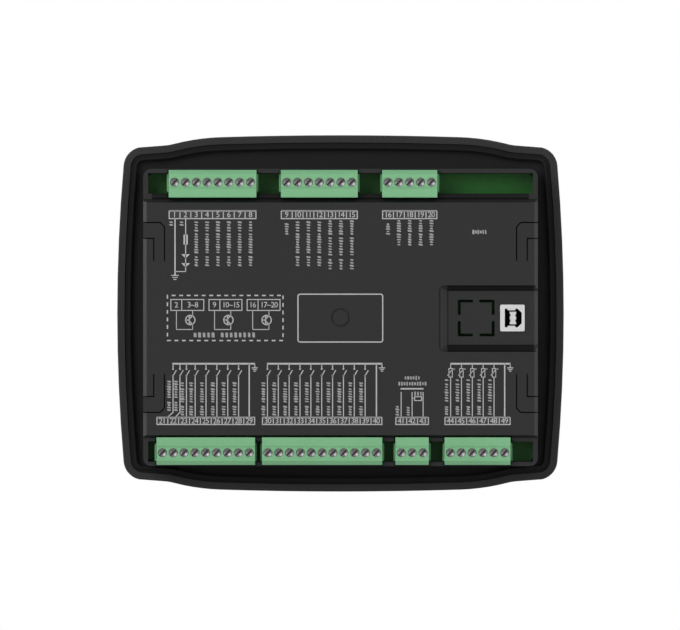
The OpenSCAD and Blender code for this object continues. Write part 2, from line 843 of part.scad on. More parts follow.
module cover_hollow() {
    inner_half = body_w / 2 - cover_wall;
    wall_y = board_y + step_reach;
    block([-inner_half, flange_y - 1, row_z(-1, bay_w1)], [inner_half, wall_y, row_z(1, bay_w1)]);
    block([-inner_half, wall_y - TINY, row_z(-1, step_w)], [inner_half, ceiling_y, row_z(1, step_w)]);
    for (row = [1, -1]) {
        row_block(row, 0, bay_half, wall_y - TINY, cover_reach + 1, bay_w0, bay_w1);
        row_block(row, 0, inner_half, wall_y - TINY, shelf_y - cover_wall, step_w - TINY, bay_wall_w);
    }
}

// Gaps through which the plugs pass the ledge and the outer wall of their bay
module plug_notches() {
    for (b = blocks)
        row_block(b[0], b[2], plug_half(b[1]) + notch_fit, shelf_y, cover_reach + 1,
            -notch_fit, bay_reach + 1);
}

// Pockets in the side walls that take the feet of the panel clips
pocket_y0 = 12;
pocket_y1 = 22;

module clip_pockets() {
    for (side = [1, -1], up = [1, -1])
        translate([side * (body_w / 2 - clip_pocket / 2 + 0.5), (pocket_y0 + pocket_y1) / 2,
                   body_z + up * (arm_low + arm_high) / 2])
            cube([clip_pocket + 1, pocket_y1 - pocket_y0, arm_high - arm_low], center = true);
}

module hook_pockets() {
    for (row = [1, -1], x = hook_xs)
        row_block(row, x, hook_w / 2 + fit, hook_y0 - touch, hook_y1 + fit,
            bay_w1 - 1, hook_w1 + hook_catch + touch);
}

// Seal: a groove in the cover's rim and a rubber gasket with a tongue and a sealing bead.
// Each is measured inwards from the flange's edge.
flange_in = rim_w + slide_fit;
tongue_in = 0.95;
tongue_w = 1.2;
tongue_h = 1.5;
bead_margin = 0.3;
bead_in = gasket_w - bead_w - bead_margin;
bead_round = 0.3;
bead_round_h = 0.4;

// A ring between two distances from the flange's edge
module seal_ring(y0, y1, near, far) {
    outline_ring(y0, y1, flange_in + near, flange_in + far);
}

module rear_cover() color(housing_colour) {
    half = body_w / 2;
    difference() {
        union() {
            slab(flange_y, moat_y)
                polygon(outline(flange_in));
            seal_ring(moat_y - TINY, seat_y, 0, gasket_w);
            slab(moat_y - TINY, tier_y)
                polygon(round_rect(body_w, body_h, body_r, [0, body_z]));
            raised_middle();
            // The latch arms on the +X side end square, without the chamfer
            for (up = [1, -1])
                translate([half - edge_chamfer - 1, tier_y - 1,
                           body_z + up * (arm_low + arm_high) / 2 - (arm_high - arm_low) / 2])
                    cube([edge_chamfer + 1, step_h + 1, arm_high - arm_low]);
        }
        seal_ring(seat_y - tongue_h, seat_y + 1, tongue_in, tongue_in + tongue_w);
        cover_hollow();
        plug_notches();
        clip_pockets();
        hook_pockets();
        port_recess();
        slab(ceiling_y - 1, cover_reach + 1)
            for (side = [1, -1], up = [1, -1])
                arm_slits(side, up);
    }
    // Floor under the port recess, with the port's window and the knock-out
    difference() {
        block([-half + cover_wall - TINY, recess_y - cover_wall, recess_low - recess_slope_bottom - 1],
              [-recess_x + 1, ceiling_y + TINY, recess_high + recess_slope_top + 1]);
        port_recess();
        slab(recess_y - cover_wall - 1, recess_y + 1) {
            translate(port_c)
                square([port_w + 2 * fit, port_h + 2 * fit], center = true);
            knockout_slots();
        }
    }
    // Bosses for the main board
    for (p = cover_bosses)
        difference() {
            peg(p, board_y, ceiling_y + TINY, boss_d);
            peg(p, board_y - 1, board_y + main_screw_l, screw_pilot_d);
        }
}

module panel_gasket() color(rubber_colour) {
    seal_ring(seat_y, seat_y + gasket_base, 0, gasket_w);
    seal_ring(seat_y - tongue_h + touch, seat_y + TINY, tongue_in + snug, tongue_in + tongue_w - snug);
    seal_ring(seat_y + gasket_base - TINY, bead_proud - bead_round_h, bead_in, bead_in + bead_w);
    seal_ring(bead_proud - bead_round_h - TINY, bead_proud,
        bead_in + bead_round, bead_in + bead_w - bead_round);
}

module contact_strips(y0, y1, clearance) {
    half = [contact_t / 2 + clearance, contact_w / 2 + clearance];
    for (p = contact_places)
        block([p[0] - half[0], y0, p[1] - half[1]], [p[0] + half[0], y1, p[1] + half[1]]);
}

// Opening of the port, with its two corners on the -X side cut off
module port_opening() {
    x = port_slot_w / 2;
    z = port_slot_h / 2;
    translate([port_c[0] + port_shift, port_c[1]])
        polygon([[x, -z], [x, z], [-x + port_corner, z], [-x, z - port_corner],
                 [-x, -z + port_corner], [-x + port_corner, -z]]);
}

module usb_housing() color(white_colour) {
    difference() {
        slab(board_y, port_y)
            polygon(round_rect(port_w, port_h, port_r, port_c));
        difference() {
            slab(port_y - port_deep, port_y + 1)
                port_opening();
            slab(port_y - port_deep - 1, port_y - port_tongue_in)
                translate([port_c[0] + port_tongue_x, port_c[1]])
                    square(port_tongue, center = true);
        }
        contact_strips(board_y - 1, port_y, snug);
    }
}

module usb_contacts() color(gold_colour) {
    contact_strips(board_front_y - contact_tail, port_y - contact_in, 0);
}

// Headers on the main board, with slots in their outer walls for the plugs' ribs
pin_hole_d = pin_w * 1.5;
pin_tail = 1.4;
pin_end = 2.5;
header_floor = 2.4;
header_w1 = header_w0 + header_d;
rib_half = 1.1;
rib_h = 3;

// Square bars on the pins' line of a block
module pole_bars(b, half, y0, y1) {
    for (x = pole_xs(b))
        row_block(b[0], x, half, y0, y1, pole_w - half, pole_w + half);
}

module header(b) color(header_colour) {
    difference() {
        row_block(b[0], b[2], header_half(b[1]), board_y, header_y, header_w0, header_w1);
        row_block(b[0], b[2], header_half(b[1]) - header_wall, board_y + header_floor, header_y + 1,
            header_w0 + header_wall, header_w1 - header_wall);
        pole_bars(b, pin_w / 2 + snug, board_y - 1, board_y + header_floor + 1);
        for (x = pole_xs(b))
            row_block(b[0], x, rib_half, header_y - rib_h, header_y + 1,
                header_w1 - header_wall - 1, header_w1 + 1);
    }
}

module header_pins() color(tin_colour) {
    for (b = blocks)
        pole_bars(b, pin_w / 2, board_front_y - pin_tail, header_y - pin_end);
}

// Plugs. Each pole has a chamber for its wire clamp, a wire entry in the outer face, a screw
// hole in the rear face and a channel for its header pin.
plug_play = 2 * slide_fit;
plug_gap = 0.4; // under the plug's tip
plug_tip_y = board_y + header_floor + plug_gap;
plug_edge = 0.4;
plug_step_w = 4.5;
plug_seam_w = 0.3;
plug_slope_w = 1.9;
plug_slope_h = 1.8;
chamber_w0 = 4.6;
chamber_w1 = 9.8;
chamber_half = 1.95;
chamber_floor = 0.5;
chamber_roof = 2.7;
chamber_y0 = plug_y + chamber_floor;
chamber_y1 = plug_rear_y - chamber_roof;
channel_half = 1.25;
entry_w = 3.4;
entry_h = 3.5;
entry_sill = 0.6;
entry_y = chamber_y0 + entry_sill;

// Cross-section of a plug's upper part, from its inner to its outer edge
module plug_profile() {
    seam = [plug_step_w - plug_seam_w / 2, plug_step_w + plug_seam_w / 2];
    polygon([[0, plug_y], [0, plug_rear_y - plug_edge], [plug_edge, plug_rear_y],
             [seam[0], plug_rear_y], [seam[0], plug_rear_y - plug_seam_w],
             [seam[1], plug_rear_y - plug_seam_w], [seam[1], plug_rear_y],
             [plug_d - plug_slope_w, plug_rear_y], [plug_d, plug_rear_y - plug_slope_h],
             [plug_d, plug_y]]);
}

module plug(b) color(plug_colour) {
    half = plug_half(b[1]);
    row = b[0];
    difference() {
        union() {
            translate([b[2] - half, 0, row_z(row, 0)])
                mirror([0, 0, row > 0 ? 0 : 1])
                    multmatrix([[0, 0, 1, 0], [0, 1, 0, 0], [1, 0, 0, 0], [0, 0, 0, 1]])
                        linear_extrude(2 * half)
                            plug_profile();
            row_block(row, b[2], half - plug_play, plug_tip_y, plug_y + TINY,
                header_w0 + header_wall + plug_play, header_w1 - header_wall - plug_play);
        }
        pole_bars(b, channel_half, plug_tip_y - 1, chamber_y0 + 1);
        for (x = pole_xs(b)) {
            row_block(row, x, chamber_half, chamber_y0, chamber_y1, chamber_w0, chamber_w1);
            row_block(row, x, entry_w / 2, entry_y, entry_y + entry_h, chamber_w1 - 1, plug_d + 1);
            peg([x, row_z(row, pole_w)], chamber_y1 - 1, plug_rear_y + 1, screw_d + 2 * slide_fit);
        }
    }
}

// Terminal screws, with a slot at 45 degrees
screw_sink = 0.5;
screw_top_y = plug_rear_y - screw_sink;
screw_head_h = 1.6;
screw_core_d = 2.4;
screw_reach = 2.4;
screw_slot_w = 0.7;
screw_slot_h = 0.8;

module terminal_screw(p) {
    difference() {
        union() {
            peg(p, screw_top_y - screw_head_h, screw_top_y, screw_d);
            peg(p, chamber_y1 - screw_reach, screw_top_y - screw_head_h + TINY, screw_core_d);
        }
        translate([p[0], screw_top_y, p[1]])
            rotate([0, 45, 0])
                cube([screw_d + 1, 2 * screw_slot_h, screw_slot_w], center = true);
    }
}

module plug_screws(b) color(steel_colour) {
    for (x = pole_xs(b))
        terminal_screw([x, row_z(b[0], pole_w)]);
}

// Wire clamps: a cage open towards the wire entry, with a sleeve that grips the header pin
clamp_wall = 0.7;
sleeve_half = 1.05;
sleeve_in = 0.8;
sleeve_y0 = plug_tip_y + sleeve_in;

module plug_clamps(b) color(tin_colour) {
    row = b[0];
    half = chamber_half - touch;
    w0 = chamber_w0 + touch;
    w1 = chamber_w1 - touch;
    y0 = chamber_y0 + touch / 2;
    y1 = chamber_y1 - touch;
    difference() {
        union() {
            for (x = pole_xs(b))
                row_block(row, x, half, y0, y1, w0, w1);
            pole_bars(b, sleeve_half, sleeve_y0, y0 + TINY);
        }
        pole_bars(b, pin_w / 2 + slide_fit, sleeve_y0 - 1, y0 + TINY);
        for (x = pole_xs(b)) {
            row_block(row, x, half - clamp_wall, y0 + clamp_wall, y1 - clamp_wall, w0 - 1, w1 + 1);
            peg([x, row_z(row, pole_w)], y1 - clamp_wall - 1, y1 + 1, screw_core_d + 2 * slide_fit);
        }
    }
}

front_bezel();
front_overlay();
display_lens();
display_module();
display_cushion();
display_board();
display_board_screws();
key_switches();
light_pipes();
status_leds();
link_header();
link_pins();
link_socket();
main_board();
main_board_screws();
processor();
capacitors();
coin_cell();
coin_cell_holder();
rear_cover();
panel_gasket();
usb_housing();
usb_contacts();
header_pins();
for (i = [1:BLOCKS]) {
    header(blocks[i - 1]);
    plug(blocks[i - 1]);
    plug_screws(blocks[i - 1]);
    plug_clamps(blocks[i - 1]);
}
for (i = [0:len(KEY_NAMES) - 1])
    key(key_places[i]);
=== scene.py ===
import json
import math

import bmesh
import bpy
from mathutils import Matrix, Vector

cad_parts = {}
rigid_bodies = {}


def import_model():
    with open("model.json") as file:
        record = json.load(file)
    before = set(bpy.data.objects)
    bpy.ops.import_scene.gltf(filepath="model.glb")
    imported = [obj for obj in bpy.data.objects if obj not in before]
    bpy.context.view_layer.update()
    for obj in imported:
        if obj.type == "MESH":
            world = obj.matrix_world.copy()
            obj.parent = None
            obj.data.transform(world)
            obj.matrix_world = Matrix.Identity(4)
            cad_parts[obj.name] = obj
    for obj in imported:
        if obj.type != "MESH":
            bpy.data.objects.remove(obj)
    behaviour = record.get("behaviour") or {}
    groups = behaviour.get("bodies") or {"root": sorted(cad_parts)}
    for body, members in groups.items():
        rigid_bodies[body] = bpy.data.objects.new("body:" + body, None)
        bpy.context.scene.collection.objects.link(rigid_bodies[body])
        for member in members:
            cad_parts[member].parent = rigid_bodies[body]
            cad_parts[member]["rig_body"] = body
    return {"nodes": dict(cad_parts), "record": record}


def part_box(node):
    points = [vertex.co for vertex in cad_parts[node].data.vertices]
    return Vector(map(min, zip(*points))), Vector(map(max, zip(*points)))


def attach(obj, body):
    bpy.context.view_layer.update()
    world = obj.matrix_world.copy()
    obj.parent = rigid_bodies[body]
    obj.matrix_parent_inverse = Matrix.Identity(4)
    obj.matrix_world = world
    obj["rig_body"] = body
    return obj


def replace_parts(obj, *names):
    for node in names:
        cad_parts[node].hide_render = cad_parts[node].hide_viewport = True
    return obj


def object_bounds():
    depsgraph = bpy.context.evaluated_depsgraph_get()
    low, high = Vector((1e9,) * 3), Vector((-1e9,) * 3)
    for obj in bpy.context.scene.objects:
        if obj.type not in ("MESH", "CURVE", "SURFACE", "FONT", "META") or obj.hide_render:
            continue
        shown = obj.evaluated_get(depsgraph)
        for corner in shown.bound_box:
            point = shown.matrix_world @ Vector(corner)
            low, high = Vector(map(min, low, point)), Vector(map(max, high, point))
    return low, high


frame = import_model()
cad_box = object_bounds()
NODES = frame["nodes"]
MM = 0.001  # one millimetre in the scene


def box_mm(node):
    """Lowest and highest corner of a node, in millimetres."""
    low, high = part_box(node)
    return Vector(low) / MM, Vector(high) / MM


# View: size of the picture in pixels, and what one of them covers, in millimetres
IMAGE = (680, 630)
PIXEL = 0.468
CENTRE = (340.5, 313.4)  # pixel at X 0, Z 0
CAMERA_Y = 1.5           # place of the camera behind the object, in metres

# Levels on the Y axis, and pieces that others are fitted to
FACE_Y = box_mm("rear_cover")[1].y
OVERLAY_Y = box_mm("front_overlay")[0].y
PORT = box_mm("usb_housing")
LENS = box_mm("display_lens")

# Terminal blocks: distance between two poles, and the number printed at each block's first pole
PITCH = 5.08
FIRST_NUMBERS = [1, 9, 16, 21, 30, 41, 44]
SCREW_D = 3.9  # of the screws' heads


class Terminals:
    """One pluggable block. Its poles are placed by u, the distance to the right of the middle."""

    def __init__(self, number, first):
        low, high = box_mm(f"plug_{number}")
        screw_low, screw_high = box_mm(f"plug_screws_{number}")
        self.number, self.first = number, first
        self.upper = low.z > 0
        self.poles = round((high.x - low.x) / PITCH)
        self.middle = -(low.x + high.x) / 2
        self.screw_z = (screw_low.z + screw_high.z) / 2
        self.screw_y = screw_high.y

    def u(self, pole):
        """Place of a pole, counted from the left. A half pole more is the edge of its cell."""
        return self.middle + (pole - (self.poles - 1) / 2) * PITCH


BLOCKS = [Terminals(i, first) for i, first in enumerate(FIRST_NUMBERS, 1)]


# Materials

class Wire:
    """An output in a material. Sums, products and the like on it add Math nodes."""

    def __init__(self, tree, socket):
        self.tree, self.socket = tree, socket

    def node(self, kind, inputs=None, output=0, **settings):
        """One output of a new node, whose inputs take values or other wires."""
        made = self.tree.nodes.new("ShaderNode" + kind)
        for key, value in settings.items():
            setattr(made, key, value)
        for key, value in (inputs or {}).items():
            if isinstance(value, Wire):
                self.tree.links.new(value.socket, made.inputs[key])
            else:
                made.inputs[key].default_value = value
        return Wire(self.tree, made.outputs[output])

    def math(self, operation, a, b=0.0, c=0.0):
        return self.node("Math", {0: a, 1: b, 2: c}, operation=operation)

    def __add__(self, other):
        return self.math("ADD", self, other)

    __radd__ = __add__

    def __sub__(self, other):
        return self.math("SUBTRACT", self, other)

    def __rsub__(self, other):
        return self.math("SUBTRACT", other, self)

    def __mul__(self, other):
        return self.math("MULTIPLY", self, other)

    __rmul__ = __mul__

    def __truediv__(self, other):
        return self.math("DIVIDE", self, other)

    def __abs__(self):
        return self.math("ABSOLUTE", self)

    def __lt__(self, other):
        return self.math("LESS_THAN", self, other)

    def __gt__(self, other):
        return self.math("GREATER_THAN", self, other)

    def clamped(self, low=0.0, high=1.0):
        """This value, held between low and high."""
        return self.math("MINIMUM", self.math("MAXIMUM", self, low), high)

    def ramp(self, low, high, start=0.0, end=1.0):
        """This value mapped from low..high to start..end."""
        return self.node("MapRange", {0: self, 1: low, 2: high, 3: start, 4: end})

    def blend(self, a, b):
        """Colour a where this value is 0, and b where it is 1."""
        return self.node("Mix", {0: self, 6: a, 7: b}, output=2, data_type="RGBA")

    def noise(self, scale, detail=2.0, roughness=0.5):
        """Noise over this place, with a mean of about 0.5."""
        return self.node("TexNoise", {"Vector": self, "Scale": scale, "Detail": detail,
                                      "Roughness": roughness})

    def stretched(self, x, y, z):
        """This place, scaled along each axis."""
        return self.node("Mapping", {"Vector": self, "Scale": (x, y, z)})

    def bump(self, height, depth, strength=0.35):
        """Relief of a given depth in millimetres."""
        return self.node("Bump", {"Strength": strength, "Distance": depth * MM, "Height": height})

    def axis(self, name):
        """One coordinate, in millimetres."""
        return self.node("SeparateXYZ", {0: self}, output="XYZ".index(name)) * (1 / MM)


def rgb(r, g, b):
    """Scene colour from the 0 to 255 values of a picture."""
    def scene(v):
        v /= 255
        return v / 12.92 if v <= 0.04045 else ((v + 0.055) / 1.055) ** 2.4
    return scene(r), scene(g), scene(b), 1.0


def toned(colour, factor):
    """A colour made darker or lighter."""
    return tuple(min(1.0, c * factor) for c in colour[:3]) + (1.0,)


def new_tree(name):
    """A new material, with the Object coordinates in it."""
    made = bpy.data.materials.new(name)
    made.use_nodes = True
    tree = made.node_tree
    tree.nodes.clear()
    coords = tree.nodes.new("ShaderNodeTexCoord")
    return made, Wire(tree, coords.outputs["Object"])


def shown_as(place, shader):
    """Links a shader to the material's output."""
    out = place.tree.nodes.new("ShaderNodeOutputMaterial")
    place.tree.links.new(shader.outputs[0], out.inputs[0])


def new_material(name):
    """A new material of one shader, with the Object coordinates in it."""
    made, place = new_tree(name)
    shader = place.tree.nodes.new("ShaderNodeBsdfPrincipled")
    shown_as(place, shader)
    return made, place, shader


def feed(shader, place, **values):
    """Sets inputs of a shader. Underlines in the names stand for spaces."""
    for key, value in values.items():
        target = shader.inputs[key.replace("_", " ")]
        if isinstance(value, Wire):
            place.tree.links.new(value.socket, target)
        else:
            target.default_value = value


def mixed(mask, first, second):
    """The first shader where the mask is 0, and the second where it is 1."""
    mix = mask.tree.nodes.new("ShaderNodeMixShader")
    link = mask.tree.links.new
    link(mask.socket, mix.inputs[0])
    link(first.outputs[0], mix.inputs[1])
    link(second.outputs[0], mix.inputs[2])
    return mix


def moulding(place, colour, rough=0.5, patch=0.08, grain=2600.0, depth=0.02, spread=0.06, **more):
    """Shader of moulded plastic: slow changes of tone and gloss, and a fine grain in relief."""
    shader = place.tree.nodes.new("ShaderNodeBsdfPrincipled")
    slow = place.noise(45.0, 3.0)
    fine = place.noise(grain, 3.0, 0.6)
    tone = (slow * 0.7 + fine * 0.3).ramp(0.35, 0.65)
    feed(shader, place, Normal=place.bump(fine, depth),
         Base_Color=tone.blend(toned(colour, 1 - patch), toned(colour, 1 + patch)),
         Roughness=(rough + (slow - 0.5) * spread * 2).clamped(0.03, 1.0), **more)
    return shader


def plastic(name, *values, **more):
    """Plastic of one finish."""
    made, place = new_tree(name)
    shown_as(place, moulding(place, *values, **more))
    return made


def two_plastics(name, mask, first, second):
    """Plastic of one finish, and of another where the mask is 1, which can be a painted shade. Each
    finish is a dictionary.
    """
    made, place = new_tree(name)
    shown_as(place, mixed(mask(place), moulding(place, **first), moulding(place, **second)))
    return made


def metal(name, colour, rough=0.3, brushed=(1.0, 1.0, 1.0), scale=900.0, depth=0.006):
    """Plated metal with fine scratches stretched along one direction."""
    made, place, shader = new_material(name)
    scratch = place.stretched(*brushed).noise(scale, 4.0, 0.65)
    patina = place.noise(160.0)
    feed(shader, place, Metallic=1.0, Normal=place.bump(scratch, depth, 0.3),
         Base_Color=patina.ramp(0.3, 0.7).blend(toned(colour, 0.8), colour),
         Roughness=(rough + (scratch - 0.5) * 0.25).clamped(0.05, 1.0))
    return made


def screw_plating_and_slot_shade(name, colour, sunk, level):
    """Plated steel, with shade painted black below a level, in the slot of the screw."""
    made, place, shader = new_material(name)
    scratch = place.stretched(1.0, 1.0, 6.0).noise(1500.0, 4.0, 0.65)
    patina = place.noise(700.0)
    # Below this level the slot is painted black and not metal, as painted shade
    slot = place.axis("Y") < level
    feed(shader, place, Normal=place.bump(scratch, 0.005, 0.3), Metallic=1.0 - slot,
         Base_Color=slot.blend(patina.ramp(0.3, 0.7).blend(toned(colour, 0.75), colour), sunk),
         Roughness=(0.34 + (scratch - 0.5) * 0.25).clamped(0.05, 1.0))
    return made


def solder_mask(name, colour, copper):
    """Board lacquer over a pattern of copper tracks."""
    made, place, shader = new_material(name)
    cells = place.node("TexVoronoi", {"Vector": place, "Scale": 420.0, "Randomness": 0.35},
                       distance="CHEBYCHEV", feature="F1")
    track = cells.ramp(0.46, 0.5).clamped()
    slow = place.noise(90.0)
    tone = (track * 0.45 + slow.ramp(0.35, 0.65).clamped() * 0.2).clamped()
    feed(shader, place, Base_Color=tone.blend(colour, copper), Roughness=0.32 + slow * 0.12,
         Normal=place.bump(track, 0.03, 0.3), Specular_IOR_Level=0.2)
    return made


def clear(name, colour, rough, weight=1.0):
    """Clear or milky plastic."""
    made, place, shader = new_material(name)
    slow = place.noise(60.0)
    feed(shader, place, Base_Color=slow.blend(toned(colour, 0.9), colour), IOR=1.49,
         Transmission_Weight=weight, Roughness=(rough + (slow - 0.5) * 0.04).clamped())
    return made


def display_glass(name):
    """Switched-off liquid crystal panel: a black border round a greenish field of fine segments."""
    border, pitch = 4.5, 1.3
    made, place, shader = new_material(name)
    middle, half = (LENS[0] + LENS[1]) / 2, (LENS[1] - LENS[0]) / 2
    x, z = place.axis("X"), place.axis("Z")
    inside = (abs(x - middle.x) < half.x - border) * (abs(z - middle.z) < half.z - border)
    cell = place.math("MAXIMUM", place.math("FRACT", x / pitch), place.math("FRACT", z / pitch))
    lines = cell.ramp(0.7, 1.0)
    field = (lines * 0.15 + place.noise(30.0) * 0.3).blend(rgb(74, 84, 78), rgb(58, 68, 64))
    feed(shader, place, Base_Color=inside.blend(rgb(16, 17, 18), field), Coat_Weight=0.5,
         Roughness=0.16, Coat_Roughness=0.05)
    return made


def ink(name, colour):
    """Screen-printed ink: its cover varies a little and its surface is slightly rough."""
    made, place, shader = new_material(name)
    cover = place.noise(1800.0, 3.0, 0.6)
    feed(shader, place, Base_Color=cover.ramp(0.35, 0.6).blend(toned(colour, 0.8), colour),
         Roughness=0.5 + cover * 0.15, Normal=place.bump(cover, 0.01, 0.2))
    return made


# Parts of the port and of the rear cover where shade is painted into the colour, in millimetres

PORT_SHADE_DEPTH = 1.0           # depth in the port from which its inside is painted black, as painted shade
LEDGE_Y = 27.5            # level of the ledge between the cover's face and its upper bay
LEDGE_Z = (53.0, 56.6)
LEDGE_END = 88.2          # its end at each side
LEDGE_ROOM = 0.5          # how far above it the ledge's painted shade reaches
LEDGE_SHADE = 0.75         # how much painted shade the ledge gets, where 1 is the painted shade alone
MOAT_Y = -1.0             # the flange lies below this, in the moat between the box and the rim, where shade is painted
MOAT_SHADE = 0.55
RECESS = (-100.0, -18.0, -46.2, 13.1)  # outline of the port's recess at the cover's face
RECESS_FLOOR_Z = (-14.6, 10.5)
RECESS_FLOOR_X = -50.0    # where the floor meets the slope that faces the port
SLOPE_TOP = 0.08          # how far below the cover's face the painted shade of a slope begins
SIDE_END = -90.6          # where the cover's face turns down to its side


def port_shade_mask(place):
    """The inside of the port, without the end of its tongue, where shade is painted black."""
    return place.axis("Y") < PORT[1].y - PORT_SHADE_DEPTH


def painted_shade_mask(place):
    """Painted shade: the ledge at the upper bay, the slopes beside the recess's floor, and the
    moat.
    """
    x, y, z = (place.axis(name) for name in "XYZ")
    ledge = (abs(x) < LEDGE_END) * (y < LEDGE_Y + LEDGE_ROOM) * (z > LEDGE_Z[0]) * (z < LEDGE_Z[1])
    above = (z > RECESS_FLOOR_Z[1]) * (z < RECESS[3])
    below = (z < RECESS_FLOOR_Z[0]) * (z > RECESS[1])
    inside = (x < RECESS_FLOOR_X) * (x > SIDE_END) * (y < FACE_Y - SLOPE_TOP)
    return (ledge * LEDGE_SHADE + (above + below) * inside + (y < MOAT_Y) * MOAT_SHADE).clamped()


HOUSING = dict(colour=rgb(26, 26, 27), rough=0.55, grain=2400.0, Specular_IOR_Level=0.26)
# Painted shade for the cover's hollows and slopes: a darker colour with less sheen, and a rougher
# surface
HOUSING_SHADED = dict(colour=rgb(18, 18, 19), rough=0.75, grain=1800.0, Specular_IOR_Level=0.08)
PORT_OUTSIDE = dict(colour=rgb(218, 218, 218), rough=0.35, patch=0.02, grain=2200.0, depth=0.01)
# Painted shade: the inside of the white port is black, where it lies in shadow
PORT_PAINTED_SHADE = dict(colour=rgb(10, 10, 11), rough=0.7, Specular_IOR_Level=0.1)

MATERIALS = {
    "housing": plastic("housing", rgb(26, 26, 27), 0.55, grain=2400.0, Specular_IOR_Level=0.3),
    "seal_rubber": plastic("seal_rubber", rgb(14, 14, 15), 0.75, 0.12, 1500.0,
                           Specular_IOR_Level=0.2),
    "overlay_film": plastic("overlay_film", rgb(34, 35, 37), 0.38, 0.06, 3200.0, 0.012),
    "clear_lens": clear("clear_lens", rgb(236, 240, 242), 0.02),
    "display_glass": display_glass("display_glass"),
    "foam": plastic("foam", rgb(40, 40, 40), 0.9, 0.2, 1200.0, 0.12),
    "board": solder_mask("board", rgb(34, 104, 34), rgb(42, 114, 42)),
    "plug_green": plastic("plug_green", rgb(120, 181, 132), 0.42, 0.03, 2000.0, 0.012),
    "header_green": plastic("header_green", rgb(108, 170, 122), 0.45, 0.04, 2000.0, 0.012),
    "screw_steel": metal("screw_steel", rgb(158, 152, 156), 0.4),
    "tinned_brass": metal("tinned_brass", rgb(200, 198, 190), 0.3),
    "contact_gold": metal("contact_gold", rgb(226, 190, 110), 0.25),
    "port_white": two_plastics("port_white", port_shade_mask, PORT_OUTSIDE, PORT_PAINTED_SHADE),
    "dark_plastic": plastic("dark_plastic", rgb(38, 38, 40), 0.55, 0.1, 2400.0),
    "key_plastic": plastic("key_plastic", rgb(70, 71, 73), 0.6, 0.06, 2600.0, 0.03),
    "light_pipe": clear("light_pipe", rgb(240, 240, 238), 0.25, 0.6),
    "can_aluminium": metal("can_aluminium", rgb(205, 206, 210), 0.35, (1.0, 12.0, 1.0)),
}
# The cover's moulding, with shade painted on its ledge, on its recess's slopes and in its moat
COVER = two_plastics("cover_moulding", painted_shade_mask, HOUSING, HOUSING_SHADED)
# Gold contacts made dark, as painted shade deep inside the port
PORT_CONTACTS_SHADED = metal("port_contacts_shaded", rgb(60, 50, 34), 0.5)
INK = ink("print_ink", rgb(192, 192, 192))
WORD_INK = ink("word_ink", rgb(160, 160, 160))
INK_DARK = ink("print_ground", rgb(24, 24, 24))
OVERLAY_INK = ink("overlay_ink", rgb(205, 206, 208))
WINDOW_INK = ink("window_ink", rgb(12, 12, 13))


# Mesh helpers

def linked(name, data):
    """A new object in the scene that carries a mesh, a curve, a lamp or the camera."""
    obj = bpy.data.objects.new(name, data)
    bpy.context.scene.collection.objects.link(obj)
    return obj


def piece(name, mesh, slot, body="root", material=None):
    """Puts a mesh into the scene as a piece that rides on a body."""
    obj = linked(name, mesh)
    if material is not None or not mesh.materials:
        mesh.materials.clear()
        mesh.materials.append(material or MATERIALS[slot])
    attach(obj, body)
    return obj


def evaluated(obj, name):
    """A plain mesh of an object with its modifiers applied. The object is removed."""
    graph = bpy.context.evaluated_depsgraph_get()
    mesh = bpy.data.meshes.new_from_object(obj.evaluated_get(graph), depsgraph=graph)
    mesh.name = name
    bpy.data.objects.remove(obj)
    return mesh


def shade(mesh, degrees):
    """Smooth shading, with edges sharper than this left hard."""
    mesh.shade_smooth()
    mesh.set_sharp_from_angle(angle=math.radians(degrees))


def prism(outline, y0, y1, name="prism", hole=None):
    """A closed mesh between two levels over a ring of (x, z) points, with an optional hole."""
    work = bmesh.new()
    loops = []
    for ring in (outline, hole):
        if ring:
            loops.append([[work.verts.new((x * MM, y * MM, z * MM)) for x, z in ring]
                          for y in (y0, y1)])
    for low, high in loops:
        for i in range(len(low)):
            j = (i + 1) % len(low)
            work.faces.new((low[i], low[j], high[j], high[i]))
    for level in (0, 1):
        if hole:
            outer, inner = loops[0][level], loops[1][level]
            for i in range(len(outer)):
                j = (i + 1) % len(outer)
                work.faces.new((outer[i], outer[j], inner[j], inner[i]))
        else:
            work.faces.new(loops[0][level])
    bmesh.ops.recalc_face_normals(work, faces=work.faces)
    mesh = bpy.data.meshes.new(name)
    work.to_mesh(mesh)
    work.free()
    return mesh


def circle(x, z, radius, steps=32):
    """Points of a circle."""
    return [(x + radius * math.cos(2 * math.pi * i / steps),
             z + radius * math.sin(2 * math.pi * i / steps)) for i in range(steps)]


def corners(x0, z0, x1, z1):
    """Corners of a rectangle."""
    return [(x0, z0), (x1, z0), (x1, z1), (x0, z1)]


def round_corners(x0, z0, x1, z1, radius, inset=0.0, steps=6):
    """Outline of a rectangle with round corners, drawn in by an inset."""
    points = []
    for n, (x, z) in enumerate(((x1, z1), (x0, z1), (x0, z0), (x1, z0))):
        cx = x + (radius if x == x0 else -radius)
        cz = z + (radius if z == z0 else -radius)
        for k in range(steps + 1):
            a = math.pi / 2 * (n + k / steps)
            reach = radius - inset
            points.append((cx + reach * math.cos(a), cz + reach * math.sin(a)))
    return points


MERGE = 0.002       # corners nearer to each other than this are one, in millimetres
FLAT_ANGLE = 0.6    # faces that meet at less than this are one flat face, in degrees
EDGE_ANGLE = 32     # edges sharper than this are rounded
SMOOTH_ANGLE = 40   # edges sharper than this look hard


